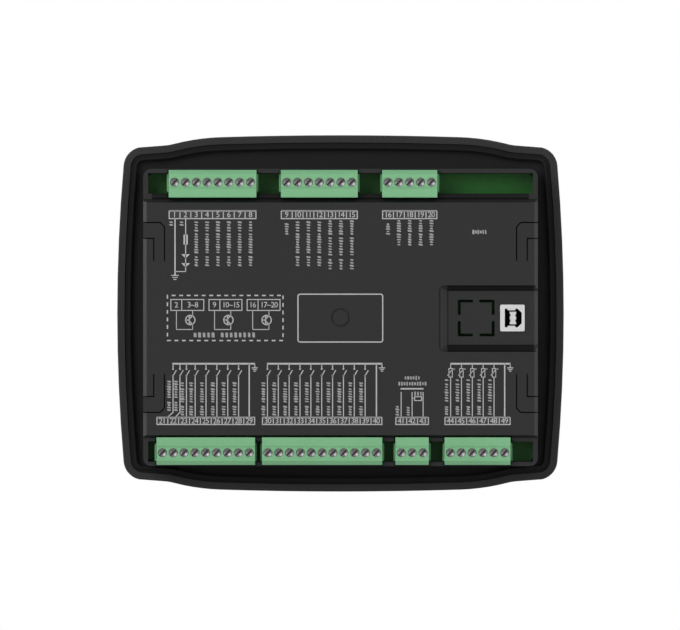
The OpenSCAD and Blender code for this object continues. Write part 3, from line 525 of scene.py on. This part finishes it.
def moulded(node, width, segments=2, material=None, cuts=()):
    """Stands for a node: its shape less some cuts, with rounded edges."""
    mesh = NODES[node].data.copy()
    work = bmesh.new()
    work.from_mesh(mesh)
    bmesh.ops.remove_doubles(work, verts=work.verts, dist=MERGE * MM)
    bmesh.ops.dissolve_limit(work, angle_limit=math.radians(FLAT_ANGLE), verts=work.verts,
                             edges=work.edges)
    work.to_mesh(mesh)
    work.free()
    obj = linked("work", mesh)
    tools = [linked("cut", cut) for cut in cuts]
    for tool in tools:
        cut = obj.modifiers.new("cut", "BOOLEAN")
        cut.operation, cut.solver, cut.object = "DIFFERENCE", "EXACT", tool
    bevel = obj.modifiers.new("edge", "BEVEL")
    bevel.width, bevel.segments = width * MM, segments
    bevel.limit_method, bevel.angle_limit = "ANGLE", math.radians(EDGE_ANGLE)
    bevel.use_clamp_overlap = True
    bevel.miter_outer = "MITER_ARC" if segments > 2 else "MITER_SHARP"
    rounded = evaluated(obj, node + "_moulded")
    for tool in tools:
        bpy.data.objects.remove(tool)
    shade(rounded, SMOOTH_ANGLE)
    obj = linked("work", rounded)
    weight = obj.modifiers.new("flats", "WEIGHTED_NORMAL")
    weight.keep_sharp = True
    flat = evaluated(obj, node + "_moulded")
    flat.materials.clear()
    slot = next(s["material_slot"] for s in frame["record"]["subparts"] if s["node"] == node)
    shell = piece(node + "_moulded", flat, slot, NODES[node]["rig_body"], material)
    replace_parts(shell, node)


def copies(form, points, name, material, turn=0.0, least=1.0, seed=1):
    """One mesh with a copy of a form on each point, by geometry nodes.

    Each copy is turned about Y by up to the given angle and scaled between least and 1."""
    holder = bpy.data.meshes.new(name)
    holder.from_pydata([Vector(p) * MM for p in points], [], [])
    obj, source = linked(name, holder), linked("form", form)
    group = bpy.data.node_groups.new("copies_on_points", "GeometryNodeTree")
    sides = group.interface
    sides.new_socket("Geometry", in_out="INPUT", socket_type="NodeSocketGeometry")
    values = {"Form": ("Object", source), "Spread of turn": ("Float", turn),
              "Least size": ("Float", least), "Seed": ("Int", seed),
              "Material": ("Material", material)}
    sockets = {key: sides.new_socket(key, in_out="INPUT", socket_type="NodeSocket" + kind)
               for key, (kind, _) in values.items()}
    sides.new_socket("Geometry", in_out="OUTPUT", socket_type="NodeSocketGeometry")
    new, link = group.nodes.new, group.links.new
    given, result = new("NodeGroupInput"), new("NodeGroupOutput")
    info, spread = new("GeometryNodeObjectInfo"), new("GeometryNodeInstanceOnPoints")
    angle, size = new("FunctionNodeRandomValue"), new("FunctionNodeRandomValue")
    turned, smallest = new("ShaderNodeCombineXYZ"), new("ShaderNodeCombineXYZ")
    back = new("ShaderNodeMath")
    real, skin = new("GeometryNodeRealizeInstances"), new("GeometryNodeSetMaterial")
    angle.data_type, size.data_type, back.operation = "FLOAT", "FLOAT_VECTOR", "MULTIPLY"
    back.inputs[1].default_value = -1.0
    size.inputs[1].default_value = (1.0, 1.0, 1.0)
    link(given.outputs["Form"], info.inputs["Object"])
    link(given.outputs["Geometry"], spread.inputs["Points"])
    link(info.outputs["Geometry"], spread.inputs["Instance"])
    link(given.outputs["Spread of turn"], back.inputs[0])
    link(back.outputs[0], angle.inputs[2])
    link(given.outputs["Spread of turn"], angle.inputs[3])
    link(angle.outputs[1], turned.inputs["Y"])
    for side in "XYZ":
        link(given.outputs["Least size"], smallest.inputs[side])
    link(smallest.outputs[0], size.inputs[0])
    for value in (angle, size):
        link(given.outputs["Seed"], value.inputs["Seed"])
    link(turned.outputs[0], spread.inputs["Rotation"])
    link(size.outputs[0], spread.inputs["Scale"])
    link(spread.outputs[0], real.inputs[0])
    link(real.outputs[0], skin.inputs["Geometry"])
    link(given.outputs["Material"], skin.inputs["Material"])
    link(skin.outputs[0], result.inputs[0])
    step = obj.modifiers.new("copies", "NODES")
    step.node_group = group
    for key, (_, value) in values.items():
        step[sockets[key].identifier] = value
    bpy.context.view_layer.update()
    mesh = evaluated(obj, name)
    bpy.data.objects.remove(source)
    return mesh


# Print

SINK = 0.02    # how far printed tiles reach into the face below them
FINE, STROKE, LINE, HEAVY = 0.35, 0.42, 0.45, 0.6  # widths of the printed lines


class Sheet:
    """Collects flat shapes a hair's breadth thick on the rear face, or on the front overlay.

    Places are in millimetres: u to the right and v up, as one looks at that side."""

    def __init__(self, name, material, lift=0.02, thick=0.03, front=False):
        self.name, self.material = name, material
        self.side = -1 if front else 1
        base = OVERLAY_Y if front else FACE_Y
        self.low = base + self.side * (lift - SINK)
        self.high = base + self.side * (lift + thick)
        self.verts, self.faces = [], []

    def shape(self, points):
        """A polygon as a thin tile."""
        area = sum(a[0] * b[1] - b[0] * a[1] for a, b in zip(points, points[1:] + points[:1]))
        if area < 0:
            points = points[::-1]
        n, start = len(points), len(self.verts)
        for y in (self.high, self.low):
            self.verts += [(-self.side * u * MM, y * MM, v * MM) for u, v in points]
        self.faces.append(tuple(range(start, start + n)))
        for i in range(n):
            j = (i + 1) % n
            self.faces.append((start + j, start + i, start + n + i, start + n + j))

    def rect(self, u0, v0, u1, v1):
        """A filled rectangle."""
        self.shape([(u0, v0), (u1, v0), (u1, v1), (u0, v1)])

    def line(self, *points, width=0.4):
        """A stroke through points."""
        for a, b in zip(points, points[1:]):
            a, b = Vector(a), Vector(b)
            run = (b - a).normalized() * width / 2
            side = Vector((-run.y, run.x))
            self.shape([tuple(a - side), tuple(b - side), tuple(b + side), tuple(a + side)])

    def drop(self, u, v0, v1, width=0.4):
        """An upright stroke."""
        self.rect(u - width / 2, v0, u + width / 2, v1)

    def frame(self, u0, v0, u1, v1, width=STROKE):
        """The outline of a rectangle."""
        w = width / 2
        self.rect(u0 - w, v0 - w, u1 + w, v0 + w)
        self.rect(u0 - w, v1 - w, u1 + w, v1 + w)
        self.drop(u0, v0 + w, v1 - w, width)
        self.drop(u1, v0 + w, v1 - w, width)

    def disc(self, u, v, radius, steps=12):
        """A filled circle."""
        self.shape([(u + x, v + z) for x, z in circle(0, 0, radius, steps)])

    def ring(self, u, v, radius, hole, start=0.0, turn=1.0, steps=24):
        """A ring, or the part of one from start over a turn."""
        for i in range(steps):
            a, b = (2 * math.pi * (start + turn * k / steps) for k in (i, i + 1))
            self.shape([(u + radius * math.cos(a), v + radius * math.sin(a)),
                        (u + radius * math.cos(b), v + radius * math.sin(b)),
                        (u + hole * math.cos(b), v + hole * math.sin(b)),
                        (u + hole * math.cos(a), v + hole * math.sin(a))])

    def wedge(self, u, v, half, height):
        """A triangle that points down from its flat top edge, or up where height is negative."""
        self.shape([(u - half, v), (u + half, v), (u, v - height)])

    def earth(self, u, v, half=1.8):
        """Earth sign: three strokes, each shorter than the one above."""
        for n in range(3):
            reach = half * (1 - n / 3.2)
            self.rect(u - reach, v - n * half / 1.9 - 0.4, u + reach, v - n * half / 1.9)

    def finish(self):
        """Puts the collected shapes into the scene as one piece."""
        mesh = bpy.data.meshes.new(self.name)
        mesh.from_pydata(self.verts, [], self.faces)
        mesh.validate()
        piece(self.name, mesh, "port_white", "root", self.material)


NUMBER_LIFT = 0.06  # of the printed numbers above the face


def numbers(name, items, size, material):
    """Printed numbers on the rear face: text, and the u and v of its middle."""
    joined = bmesh.new()
    for text, u, v in items:
        curve = bpy.data.curves.new("number", "FONT")
        curve.body = text
        curve.size = size * MM
        curve.align_x, curve.align_y = "CENTER", "CENTER"
        curve.resolution_u = 2
        curve.space_character = 0.84
        mesh = evaluated(linked("number", curve), "number")
        mesh.transform(Matrix(((-1, 0, 0, -u * MM), (0, 0, 1, (FACE_Y + NUMBER_LIFT) * MM),
                               (0, 1, 0, v * MM), (0, 0, 0, 1))))
        joined.from_mesh(mesh)
        bpy.data.meshes.remove(mesh)
        bpy.data.curves.remove(curve)
    for face in joined.faces:
        face.normal_update()
        if face.normal.y < 0:
            face.normal_flip()
    mesh = bpy.data.meshes.new(name)
    joined.to_mesh(mesh)
    joined.free()
    piece(name, mesh, "port_white", "root", material)


LETTER_STEP = 1.22  # from one small letter to the next
letters_down, letters_across = [], []


def word_down(u, top, bottom):
    """A word of small print that reads from the bottom to the top, as a row of marks."""
    count = max(1, round((top - bottom) / LETTER_STEP))
    step = (top - bottom) / count
    letters_down.extend((-u, FACE_Y, top - (n + 0.5) * step) for n in range(count))


def word_across(left, right, v):
    """A word of small print that reads from the left, as a row of marks."""
    count = max(1, round((right - left) / LETTER_STEP))
    step = (right - left) / count
    letters_across.extend((-left - (n + 0.5) * step, FACE_Y, v) for n in range(count))


def letter_form(width, height):
    """A tile with two cut corners, which stands for a small letter."""
    w, h = width / 2, height / 2
    cut = w / 2
    outline = [(-w, -h), (w - cut, -h), (w, -h + cut), (w, h), (-w + cut, h), (-w, h - cut)]
    return prism(outline, -0.02, 0.05, "letter_form")


# Camera, lamps, floor and surroundings

camera = linked("camera", bpy.data.cameras.new("camera"))
camera.data.type = "ORTHO"
camera.data.ortho_scale = IMAGE[0] * PIXEL * MM
camera.location = ((CENTRE[0] - IMAGE[0] / 2) * PIXEL * MM, CAMERA_Y,
                   (CENTRE[1] - IMAGE[1] / 2) * PIXEL * MM)
camera.rotation_euler = (math.radians(90), 0, math.radians(180))
camera.data.clip_end = 20
bpy.context.scene.camera = camera
bpy.context.scene.view_settings.view_transform = "Standard"


AIM = Vector((0, 0.02, 0))  # what all lamps point at, in metres


def lamp(name, place, size, watts):
    """A soft rectangular lamp at a place in metres."""
    data = bpy.data.lights.new(name, "AREA")
    data.shape = "RECTANGLE"
    data.size, data.size_y = size
    data.energy = watts
    obj = linked(name, data)
    obj.location = place
    obj.rotation_euler = (AIM - Vector(place)).to_track_quat("-Z", "Y").to_euler()


lamp("key_softbox", (1.36, 2.56, 1.1), (1.44, 1.44), 37.0)
lamp("fill_softbox", (-1.52, 2.56, 0.2), (1.6, 1.6), 12.5)
lamp("left_strip", (1.1, 0.12, 0.1), (0.35, 0.9), 9.0)
lamp("right_strip", (-1.1, 0.12, 0.0), (0.35, 0.9), 6.5)
lamp("front_softbox", (-0.7, -1.6, 0.9), (1.0, 1.0), 20.0)


def seen_by(tree, *kinds):
    """1 for rays of these kinds, and 0 for others."""
    rays = tree.nodes.new("ShaderNodeLightPath")
    seen = [Wire(tree, rays.outputs[f"Is {kind} Ray"]) for kind in kinds]
    total = seen[0]
    for other in seen[1:]:
        total = total.math("MAXIMUM", total, other)
    return total


def background(tree, strength):
    """White surroundings of a given strength."""
    shader = tree.nodes.new("ShaderNodeBackground")
    shader.inputs["Color"].default_value = (1, 1, 1, 1)
    shader.inputs["Strength"].default_value = strength
    return shader


SKY = 0.24  # strength of the surroundings as a light on the object
world = bpy.data.worlds.new("surroundings")
bpy.context.scene.world = world
world.use_nodes = True
air = world.node_tree
air.nodes.clear()
seen = seen_by(air, "Camera", "Glossy", "Transmission")
sky = mixed(seen, background(air, SKY), background(air, 1.0))
air.links.new(sky.outputs[0], air.nodes.new("ShaderNodeOutputWorld").inputs[0])


def floor_paper():
    """Pale paper, which glossy and clear pieces see as white."""
    made, place = new_tree("floor_paper")
    paper = moulding(place, rgb(232, 232, 230), 0.7, 0.01, 300.0, 0.05)
    white = place.tree.nodes.new("ShaderNodeEmission")
    shown_as(place, mixed(seen_by(place.tree, "Glossy", "Transmission"), paper, white))
    return made


FLOOR_REACH = 2       # metres to each side
FLOOR_GAP = 0.4 * MM  # between the floor and the object
floor_z = cad_box[0].z - FLOOR_GAP
floor_mesh = bpy.data.meshes.new("floor")
floor_mesh.from_pydata([(x, y, floor_z) for x, y in corners(-FLOOR_REACH, -FLOOR_REACH,
                                                            FLOOR_REACH, FLOOR_REACH)],
                       [], [(0, 1, 2, 3)])
floor_mesh.materials.append(floor_paper())
linked("floor", floor_mesh)

# Every CAD node takes the material of its slot

for entry in frame["record"]["subparts"]:
    mesh = NODES[entry["node"]].data
    mesh.materials.clear()
    mesh.materials.append(MATERIALS[entry["material_slot"]])

# Moulded pieces get their rounded edges. The cover also gets the shallow ring of its moulding
# gate, two grooves in the ledge of its upper bay, the outline of the port's recess and the line
# at the foot of its slope, and knock-out slots that are a little wider.

ABOVE = FACE_Y + 1  # where every cut into the cover's face starts
GATE, GATE_R, GATE_HOLE_R, GATE_DEEP = (0.0, -2.0), 4.4, 3.6, 0.7
gate_ring = prism(circle(*GATE, GATE_R), FACE_Y - GATE_DEEP, ABOVE, "gate",
                  hole=circle(*GATE, GATE_HOLE_R))

GROOVES = ((53.6, 0.5), (55.6, 0.7))  # lower edge and width of each
GROOVE_END, GROOVE_DEEP = 88.0, 1.2
grooves = [prism(corners(-GROOVE_END, z, GROOVE_END, z + w), LEDGE_Y - GROOVE_DEEP, ABOVE,
                 "groove") for z, w in GROOVES]

RECESS_R, RECESS_LINE = 2.6, 0.5
RIM_DEEP, FOOT_DEEP = 0.9, 3
recess_rim = prism(round_corners(*RECESS, RECESS_R), FACE_Y - RIM_DEEP, ABOVE, "recess_rim",
                   hole=round_corners(*RECESS, RECESS_R, inset=RECESS_LINE))
foot_line = corners(RECESS_FLOOR_X - RECESS_LINE, RECESS_FLOOR_Z[0],
                    RECESS_FLOOR_X, RECESS_FLOOR_Z[1])
recess_foot = prism(foot_line, FACE_Y - FOOT_DEEP, ABOVE, "recess_foot")

# Each corner of the knock-out has a slot with two arms
KNOCKOUT = (-63.5, -2.15)
OUTER, INNER, ARM_END = 8.6, 7.25, 1.65  # distances from its middle
SLOT_ARMS = [(OUTER, OUTER), (ARM_END, OUTER), (ARM_END, INNER), (INNER, INNER),
             (INNER, ARM_END), (OUTER, ARM_END)]
slots = []
for sx in (-1, 1):
    for sz in (-1, 1):
        arms = [(KNOCKOUT[0] + sx * x, KNOCKOUT[1] + sz * z) for x, z in SLOT_ARMS]
        slots.append(prism(arms[::sx * sz], FACE_Y - 5, FACE_Y - 1, "slot"))

moulded("rear_cover", 0.16, 2, COVER, cuts=[gate_ring, recess_rim, recess_foot, *slots, *grooves])
moulded("front_bezel", 0.2)
moulded("usb_housing", 0.15)

# The port's opening is narrower at its top and bottom, in the middle of its width

NECK = ((-1.4, 4.5), (-1.4, 3.9), (-1.1, 3.6), (2.0, 3.6), (2.3, 3.9), (2.3, 4.5))
NECK_LONG, NECK_SUNK = 7, 0.3  # its far end and its near end, from the port's face
port_x, port_z = (PORT[0].x + PORT[1].x) / 2, (PORT[0].z + PORT[1].z) / 2
for name, up in (("port_neck_upper", 1), ("port_neck_lower", -1)):
    outline = [(port_x + x, port_z + up * z) for x, z in NECK]
    neck = prism(outline, PORT[1].y - NECK_LONG, PORT[1].y - NECK_SUNK, name)
    piece(name, neck, "port_white")
# The port's contacts take the dark gold, as painted shade
NODES["usb_contacts"].data.materials[0] = PORT_CONTACTS_SHADED
for block in BLOCKS:
    moulded(f"plug_{block.number}", 0.12)
    moulded(f"header_{block.number}", 0.1, 1)
KEYS = ("up", "down", "set", "back", "start", "stop")
for key in KEYS:
    moulded(f"key_{key}", 0.2, 3)


# Terminal screws, one form put on each pole

SCREW_SLOT = 0.7      # width of the slot
SCREW_SLOT_DEEP = 0.9
SCREW_DISH = 0.42     # how far the middle of the head lies below its edge
SCREW_SHADE_DEPTH = 0.6     # how far below its edge the slot's painted black shade begins
SCREW_LEAN = -45      # turn of the slot, in degrees
SCREW_LOOSE = 2.5     # how far that differs from screw to screw
SCREW_SMOOTH = 30     # edges sharper than this look hard


def screw_form():
    """A sunk screw head, dished, with a slot from lower left to upper right."""
    half, r, steps = SCREW_SLOT / 2, SCREW_D / 2, 14
    lean = Matrix.Rotation(math.radians(SCREW_LEAN), 2)
    profile = [(1.0, -SCREW_SLOT_DEEP), (1.0, -0.12), (0.96, 0.0), (0.84, -0.04),
               (0.45, -0.3), (0.0, -SCREW_DISH)]
    work = bmesh.new()

    def point(x, z, y):
        x, z = lean @ Vector((x, z))
        return work.verts.new((x * MM, y * MM, z * MM))

    for side in (1, -1):
        start = math.asin(half / r)
        arc = [start + (math.pi - 2 * start) * i / steps for i in range(steps + 1)]
        rings = [[point(r * math.cos(a) * s, side * (half + (r * math.sin(a) - half) * s), y)
                  for a in arc] for s, y in profile]
        for low, high in zip(rings, rings[1:]):
            for i in range(steps + 1):
                j = (i + 1) % (steps + 1)
                work.faces.new((low[i], low[j], high[j], high[i]))
    work.faces.new([point(x, z, -SCREW_SLOT_DEEP)
                    for x, z in corners(-r, -half - 0.1, r, half + 0.1)])
    bmesh.ops.remove_doubles(work, verts=work.verts, dist=1e-7)
    bmesh.ops.recalc_face_normals(work, faces=work.faces)
    for face in work.faces:
        if len(face.verts) == 4 and face.normal.y < -0.9:
            face.normal_flip()
    mesh = bpy.data.meshes.new("screw_form")
    work.to_mesh(mesh)
    work.free()
    shade(mesh, SCREW_SMOOTH)
    return mesh


for block in BLOCKS:
    spots = [(-block.u(n), block.screw_y, block.screw_z) for n in range(block.poles)]
    name = f"screw_heads_{block.number}"
    plating_and_shade = screw_plating_and_slot_shade(name + "_plating", rgb(112, 110, 112), rgb(16, 16, 17),
                            block.screw_y - SCREW_SHADE_DEPTH)
    heads = copies(screw_form(), spots, name, plating_and_shade, math.radians(SCREW_LOOSE), 1.0,
                   7 + block.number)
    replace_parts(piece(name, heads, "screw_steel", f"plug_{block.number}"),
                f"plug_screws_{block.number}")

# Numbered strip at each block

light = Sheet("print_lines", INK)
ground = Sheet("print_number_ground", INK_DARK, 0.0, 0.02)
STRIPS = {True: (44.35, 47.9), False: (-52.0, -48.75)}  # of the upper and of the lower blocks
STRIP_LOW, STRIP_HIGH = STRIPS[True][0], STRIPS[False][1]  # their edges that face the middle
STRIP_TOP = 0.4  # how much thicker their upper line is
figures = []
for block in BLOCKS:
    low, high = STRIPS[block.upper]
    left, right = block.u(-0.5), block.u(block.poles - 0.5)
    light.frame(left, low, right, high, LINE)
    light.rect(left, high, right, high + STRIP_TOP)
    ground.rect(left, low, right, high)
    for n in range(block.poles):
        if n:
            light.drop(block.u(n - 0.5), low, high, STROKE)
        figures.append((str(block.first + n), block.u(n), (low + high) / 2))

# Supply terminals: a return line with its earth sign, a supply line with its fuse and two cells

EARTH_V, JOIN_V = 18.0, 19.6  # ends of the two lines
FUSE = (32.2, 36.9)
CELLS, CELL = (27.7, 23.5), 2.0
SIGN_NAME = (43.3, 40.8)
back_u, supply_u = BLOCKS[0].u(0) + 0.2, BLOCKS[0].u(1) + 0.1
light.drop(back_u, EARTH_V, STRIP_LOW, HEAVY)
light.earth(back_u, EARTH_V)
light.drop(supply_u, JOIN_V, STRIP_LOW, LINE)
light.rect(supply_u - 1, FUSE[0], supply_u + 1, FUSE[1])
for v in CELLS:
    light.wedge(supply_u, v, CELL, CELL)
light.rect(back_u, JOIN_V - 0.2, supply_u + 0.2, JOIN_V + 0.2)
word_down(back_u - 1.8, *SIGN_NAME)
word_down(supply_u - 1.9, *SIGN_NAME)

# Names of the upper terminals: the upper and the lower end of each word

COMMON = [(42.3, 36.7)]
LONG = [(43.3, 38.1), (37.6, 28.0), (27.0, 21.9)]
LONGER = [(43.7, 36.7), (35.8, 26.9), (25.7, 20.3)]
SHORT = [(43.9, 38.0), (37.5, 31.6)]
UPPER_NAMES = {9: COMMON, 16: COMMON}
UPPER_NAMES.update({n: LONG for n in (*range(3, 9), 10, 11, 12)})
UPPER_NAMES.update({n: LONGER for n in (13, 14, 15)})
UPPER_NAMES.update({n: SHORT for n in range(17, 21)})
for block in BLOCKS[:3]:
    for n in range(block.poles):
        for top, bottom in UPPER_NAMES.get(block.first + n, []):
            word_down(block.u(n), top, bottom)
TYPE_MARK = (61.6, 68.5, 38.1)
word_across(*TYPE_MARK)

# Output stages in their dashed frame: a number box, and a transistor in its circle

DASH, DASH_LINE = 1.75, 0.6
DASHES = ((-78.1, 8.4, 15, 3.52, 0), (-80.3, -12.7, 16, 3.5, 0),
          (-81.0, 7.8, 6, 0, -3.54), (-26.9, 7.5, 6, 0, -3.54))  # first one, count and step
for u, v, count, du, dv in DASHES:
    for n in range(count):
        reach = DASH / 2 if du else DASH_LINE / 2
        rise = DASH / 2 if dv else DASH_LINE / 2
        light.rect(u + n * du - reach, v + n * dv - rise, u + n * du + reach, v + n * dv + rise)

STAGES = (("2", "3~8"), ("9", "10~15"), ("16", "17~20"))
STAGE_U, STAGE_STEP, STAGE_WIDE = -79.4, 17.85, 15.4
BOX_LOW, BOX_HIGH, BOX_SPLIT = 1.4, 6.5, 5.1
LEG_IN, LEG_OUT, LEG_END = 2.6, 10.2, -7.6  # the wires left and right of the transistor
CENTRE_U, CENTRE_V = 9.1, -3.1              # of the transistor, from the left of the stage
BASE_U, BAR_U, BAR_REACH = 6.8, 8.65, 1.8   # start of its base wire, and the bar at its end
RING, RING_HOLE = 2.45, 1.95                # radii of the circle round it
BAR_TAP, LEG_TAP = 0.6, 2.1                 # ends of its two slopes, above and below its middle
RANGE_U, RANGE_V = (2.6, 10.3), 3.9         # middles of the two numbers
ranges = []
for n, (left, right) in enumerate(STAGES):
    u = STAGE_U + n * STAGE_STEP
    light.frame(u, BOX_LOW, u + STAGE_WIDE, BOX_HIGH)
    light.drop(u + BOX_SPLIT, BOX_LOW, BOX_HIGH)
    ranges += [(left, u + RANGE_U[0], RANGE_V), (right, u + RANGE_U[1], RANGE_V)]
    light.drop(u + LEG_IN, LEG_END, BOX_LOW, FINE)
    light.rect(u + LEG_IN, LEG_END - 0.1, u + LEG_OUT, LEG_END + 0.25)
    light.drop(u + LEG_OUT, LEG_END, CENTRE_V - LEG_TAP, FINE)
    light.drop(u + LEG_OUT, CENTRE_V + LEG_TAP, BOX_LOW, FINE)
    light.ring(u + CENTRE_U, CENTRE_V, RING, RING_HOLE)
    light.drop(u + BAR_U, CENTRE_V - BAR_REACH, CENTRE_V + BAR_REACH, HEAVY)
    light.rect(u + BASE_U, CENTRE_V - 0.25, u + BAR_U, CENTRE_V + 0.25)
    for up in (1, -1):
        light.line((u + BAR_U, CENTRE_V + up * BAR_TAP), (u + LEG_OUT, CENTRE_V + up * LEG_TAP),
                   width=HEAVY)

CAPTION_V, CAPTION_STEP, CAPTION = -10.1, 2.1, (1.35, 2.5)
CAPTION_WORDS = ((-69.1, 5), (-56.4, 8))  # left end, and number of marks
caption = [(-u - (n + 0.5) * CAPTION_STEP, FACE_Y, CAPTION_V)
           for u, count in CAPTION_WORDS for n in range(count)]

# Bare field for a label, in a thin frame with round corners

FIELD = (-19.9, -13.4, 19.75, 9.0)
FIELD_R, FIELD_LINE = 1.0, 0.55
u0, v0, u1, v1 = FIELD
light.rect(u0 + FIELD_R, v0 - FIELD_LINE / 2, u1 - FIELD_R, v0 + FIELD_LINE / 2)
light.rect(u0 + FIELD_R, v1 - FIELD_LINE / 2, u1 - FIELD_R, v1 + FIELD_LINE / 2)
light.drop(u0, v0 + FIELD_R, v1 - FIELD_R, FIELD_LINE)
light.drop(u1, v0 + FIELD_R, v1 - FIELD_R, FIELD_LINE)
for n, (u, v) in enumerate(((u1, v1), (u0, v1), (u0, v0), (u1, v0))):
    centre = (u + math.copysign(FIELD_R, -u), v - math.copysign(FIELD_R, v + 2))
    light.ring(*centre, FIELD_R + FIELD_LINE / 2, FIELD_R - FIELD_LINE / 2, n / 4, 0.25, 6)

# Digital inputs: a bus, a switch on each line, and a common return with its earth sign

BUS_V, BUS_LINE, BUS_END = -23.55, 0.8, 2.8  # level, width, and reach beyond the last line
EARTH_ASIDE, EARTH_TOP, EARTH_HALF = 2.6, -25.3, 1.45  # earth sign, right of the common return
SWITCH_TOP, SWITCH_FOOT = -26.0, -29.2
NAME_ASIDE = 1.9  # of a line's name, to the left of the line


def bus(left, right):
    """The line that joins all lines of a block."""
    light.rect(left, BUS_V - BUS_LINE / 2, right, BUS_V + BUS_LINE / 2)


def common_return(u):
    """The line of the common terminal, and the earth sign at the end of its bus."""
    light.drop(u, STRIP_HIGH, BUS_V, HEAVY)
    light.drop(u + EARTH_ASIDE, EARTH_TOP, BUS_V, LINE)
    light.earth(u + EARTH_ASIDE, EARTH_TOP, EARTH_HALF)


def switch(u):
    """An open contact below the bus."""
    light.drop(u, SWITCH_TOP + 0.2, BUS_V, LINE)
    for v in (SWITCH_TOP, SWITCH_FOOT):
        light.disc(u, v, LINE)
    light.line((u, SWITCH_FOOT), (u + 1.5, SWITCH_TOP - 0.6), width=LINE)


def line_name(u, words):
    """The name beside a line, as the upper and the lower end of each word."""
    for top, bottom in words:
        word_down(u - NAME_ASIDE, top, bottom)


FIRST_NAME = [(-31.3, -39.8), (-41.2, -45.8)]
INPUT_NAME = [(-32.1, -34.3), (-34.9, -41.8), (-43.1, -47.9)]
first, second = BLOCKS[3], BLOCKS[4]
FIRST_BUS = -78.8
ASIDE = (5.0, 3.15, 1.1)  # how far the first three lines stand to the right of their terminals
FOOT = (2.2, 0.75)        # and the feet of the first two
KNEE = -46.3              # where those two bend
bus(FIRST_BUS, first.u(first.poles - 1) + BUS_END)
for n in range(first.poles - 1):
    u = first.u(n) + (ASIDE[n] if n < len(ASIDE) else 0.1)
    switch(u)
    if n < len(FOOT):
        light.drop(u, KNEE - 0.1, SWITCH_FOOT, LINE)
        light.line((u, KNEE), (first.u(n) + FOOT[n], STRIP_HIGH), width=LINE)
    else:
        light.drop(u, STRIP_HIGH, SWITCH_FOOT, LINE)
    line_name(u, FIRST_NAME if n < len(FOOT) else INPUT_NAME)
common_return(first.u(first.poles - 1))
bus(second.u(0) - 0.4, second.u(second.poles - 1) + BUS_END)
for n in range(second.poles - 1):
    u = second.u(n) - 0.2
    switch(u)
    light.drop(u, STRIP_HIGH, SWITCH_FOOT, LINE)
    line_name(u, INPUT_NAME)
common_return(second.u(second.poles - 1))

# Serial line: three terminals, with a resistor between the last two

serial = BLOCKS[5]
SERIAL_BAR = (28.1, -35.6, 38.8, -34.95)
SERIAL_TOP = -36.8
RESISTOR = (34.7, -40.8, 37.9, -39.0)
RESISTOR_LEGS = (-40.0, -39.65)
SERIAL_TITLES = ((29.8, 37.3, -30.2), (26.9, 40.4, -32.9), (34.2, 38.3, -37.6))
SERIAL_NAMES = ((26.6, -43.1, -48.0), (31.7, -43.6, -48.0))
light.rect(*SERIAL_BAR)
for n in range(serial.poles):
    light.drop(serial.u(n) + (n - 1) * 0.05, STRIP_HIGH, SERIAL_TOP, STROKE)
light.frame(*RESISTOR, 0.4)
light.rect(serial.u(1), RESISTOR_LEGS[0], RESISTOR[0], RESISTOR_LEGS[1])
light.rect(RESISTOR[2], RESISTOR_LEGS[0], serial.u(2), RESISTOR_LEGS[1])
for left, right, v in SERIAL_TITLES:
    word_across(left, right, v)
for u, top, bottom in SERIAL_NAMES:
    word_down(u, top, bottom)

# Sensors: a bus, and a thermistor on each line

sensors = BLOCKS[6]
SENSOR_BUS = 51.4
SENSOR_NAME = [(-30.7, -31.8), (-32.6, -41.5), (-43.3, -47.6)]
low, high = -29.8, -25.8  # of the thermistors
bus(SENSOR_BUS, sensors.u(sensors.poles - 1) + BUS_END)
for n in range(sensors.poles - 1):
    u = sensors.u(n) + 0.1
    light.drop(u, high + 0.1, BUS_V, STROKE)
    light.frame(u - 0.8, low, u + 0.8, high, FINE)
    light.line((u - 1.5, low + 0.7), (u + 0.9, high - 0.3), (u + 2.0, high - 0.2), width=FINE)
    light.drop(u, STRIP_HIGH, low - 0.1, STROKE)
    line_name(u, SENSOR_NAME)
common_return(sensors.u(sensors.poles - 1))

light.finish()
ground.finish()
numbers("print_terminal_numbers", figures, 3.8, INK)
numbers("print_range_numbers", ranges, 3.7, INK)

SMALL = (2.1, 0.95)  # width and height of a small mark that reads upwards
for name, size, places, least, seed in (
        ("print_words_down", SMALL, letters_down, 0.62, 11),
        ("print_words_across", SMALL[::-1], letters_across, 0.62, 12),
        ("print_caption", CAPTION, caption, 0.8, 13)):
    words = copies(letter_form(*size), places, name, WORD_INK, least=least, seed=seed)
    piece(name, words, "port_white")

# Front overlay: a dark border round the window, and a plain sign above each key

BORDER = 4.0
border = Sheet("print_window_border", WINDOW_INK, front=True)
left, right, low, high = LENS[0].x, LENS[1].x, LENS[0].z, LENS[1].z
border.rect(left - BORDER, high, right + BORDER, high + BORDER)
border.rect(left - BORDER, low - BORDER, right + BORDER, low)
border.rect(left - BORDER, low, left, high)
border.rect(right, low, right + BORDER, high)
border.finish()

signs = Sheet("print_key_signs", OVERLAY_INK, front=True)
SIGN_RISE, SIGN = 3.6, 1.4  # from the top of a key to its sign, and half the sign's width
SIGN_LINE = 0.5
for key in KEYS:
    low, high = box_mm("key_" + key)
    u, v = (low.x + high.x) / 2, high.z + SIGN_RISE
    if key == "up":
        signs.wedge(u, v - SIGN, SIGN, -2 * SIGN)
    elif key == "down":
        signs.wedge(u, v + SIGN, SIGN, 2 * SIGN)
    elif key == "set":
        signs.disc(u, v, SIGN * 0.7)
    elif key == "back":
        signs.shape([(u - SIGN, v), (u + SIGN, v - SIGN), (u + SIGN, v + SIGN)])
    elif key == "start":
        signs.drop(u, v - SIGN, v + SIGN, SIGN_LINE)
    else:
        signs.ring(u, v, SIGN, SIGN - SIGN_LINE)
signs.finish()
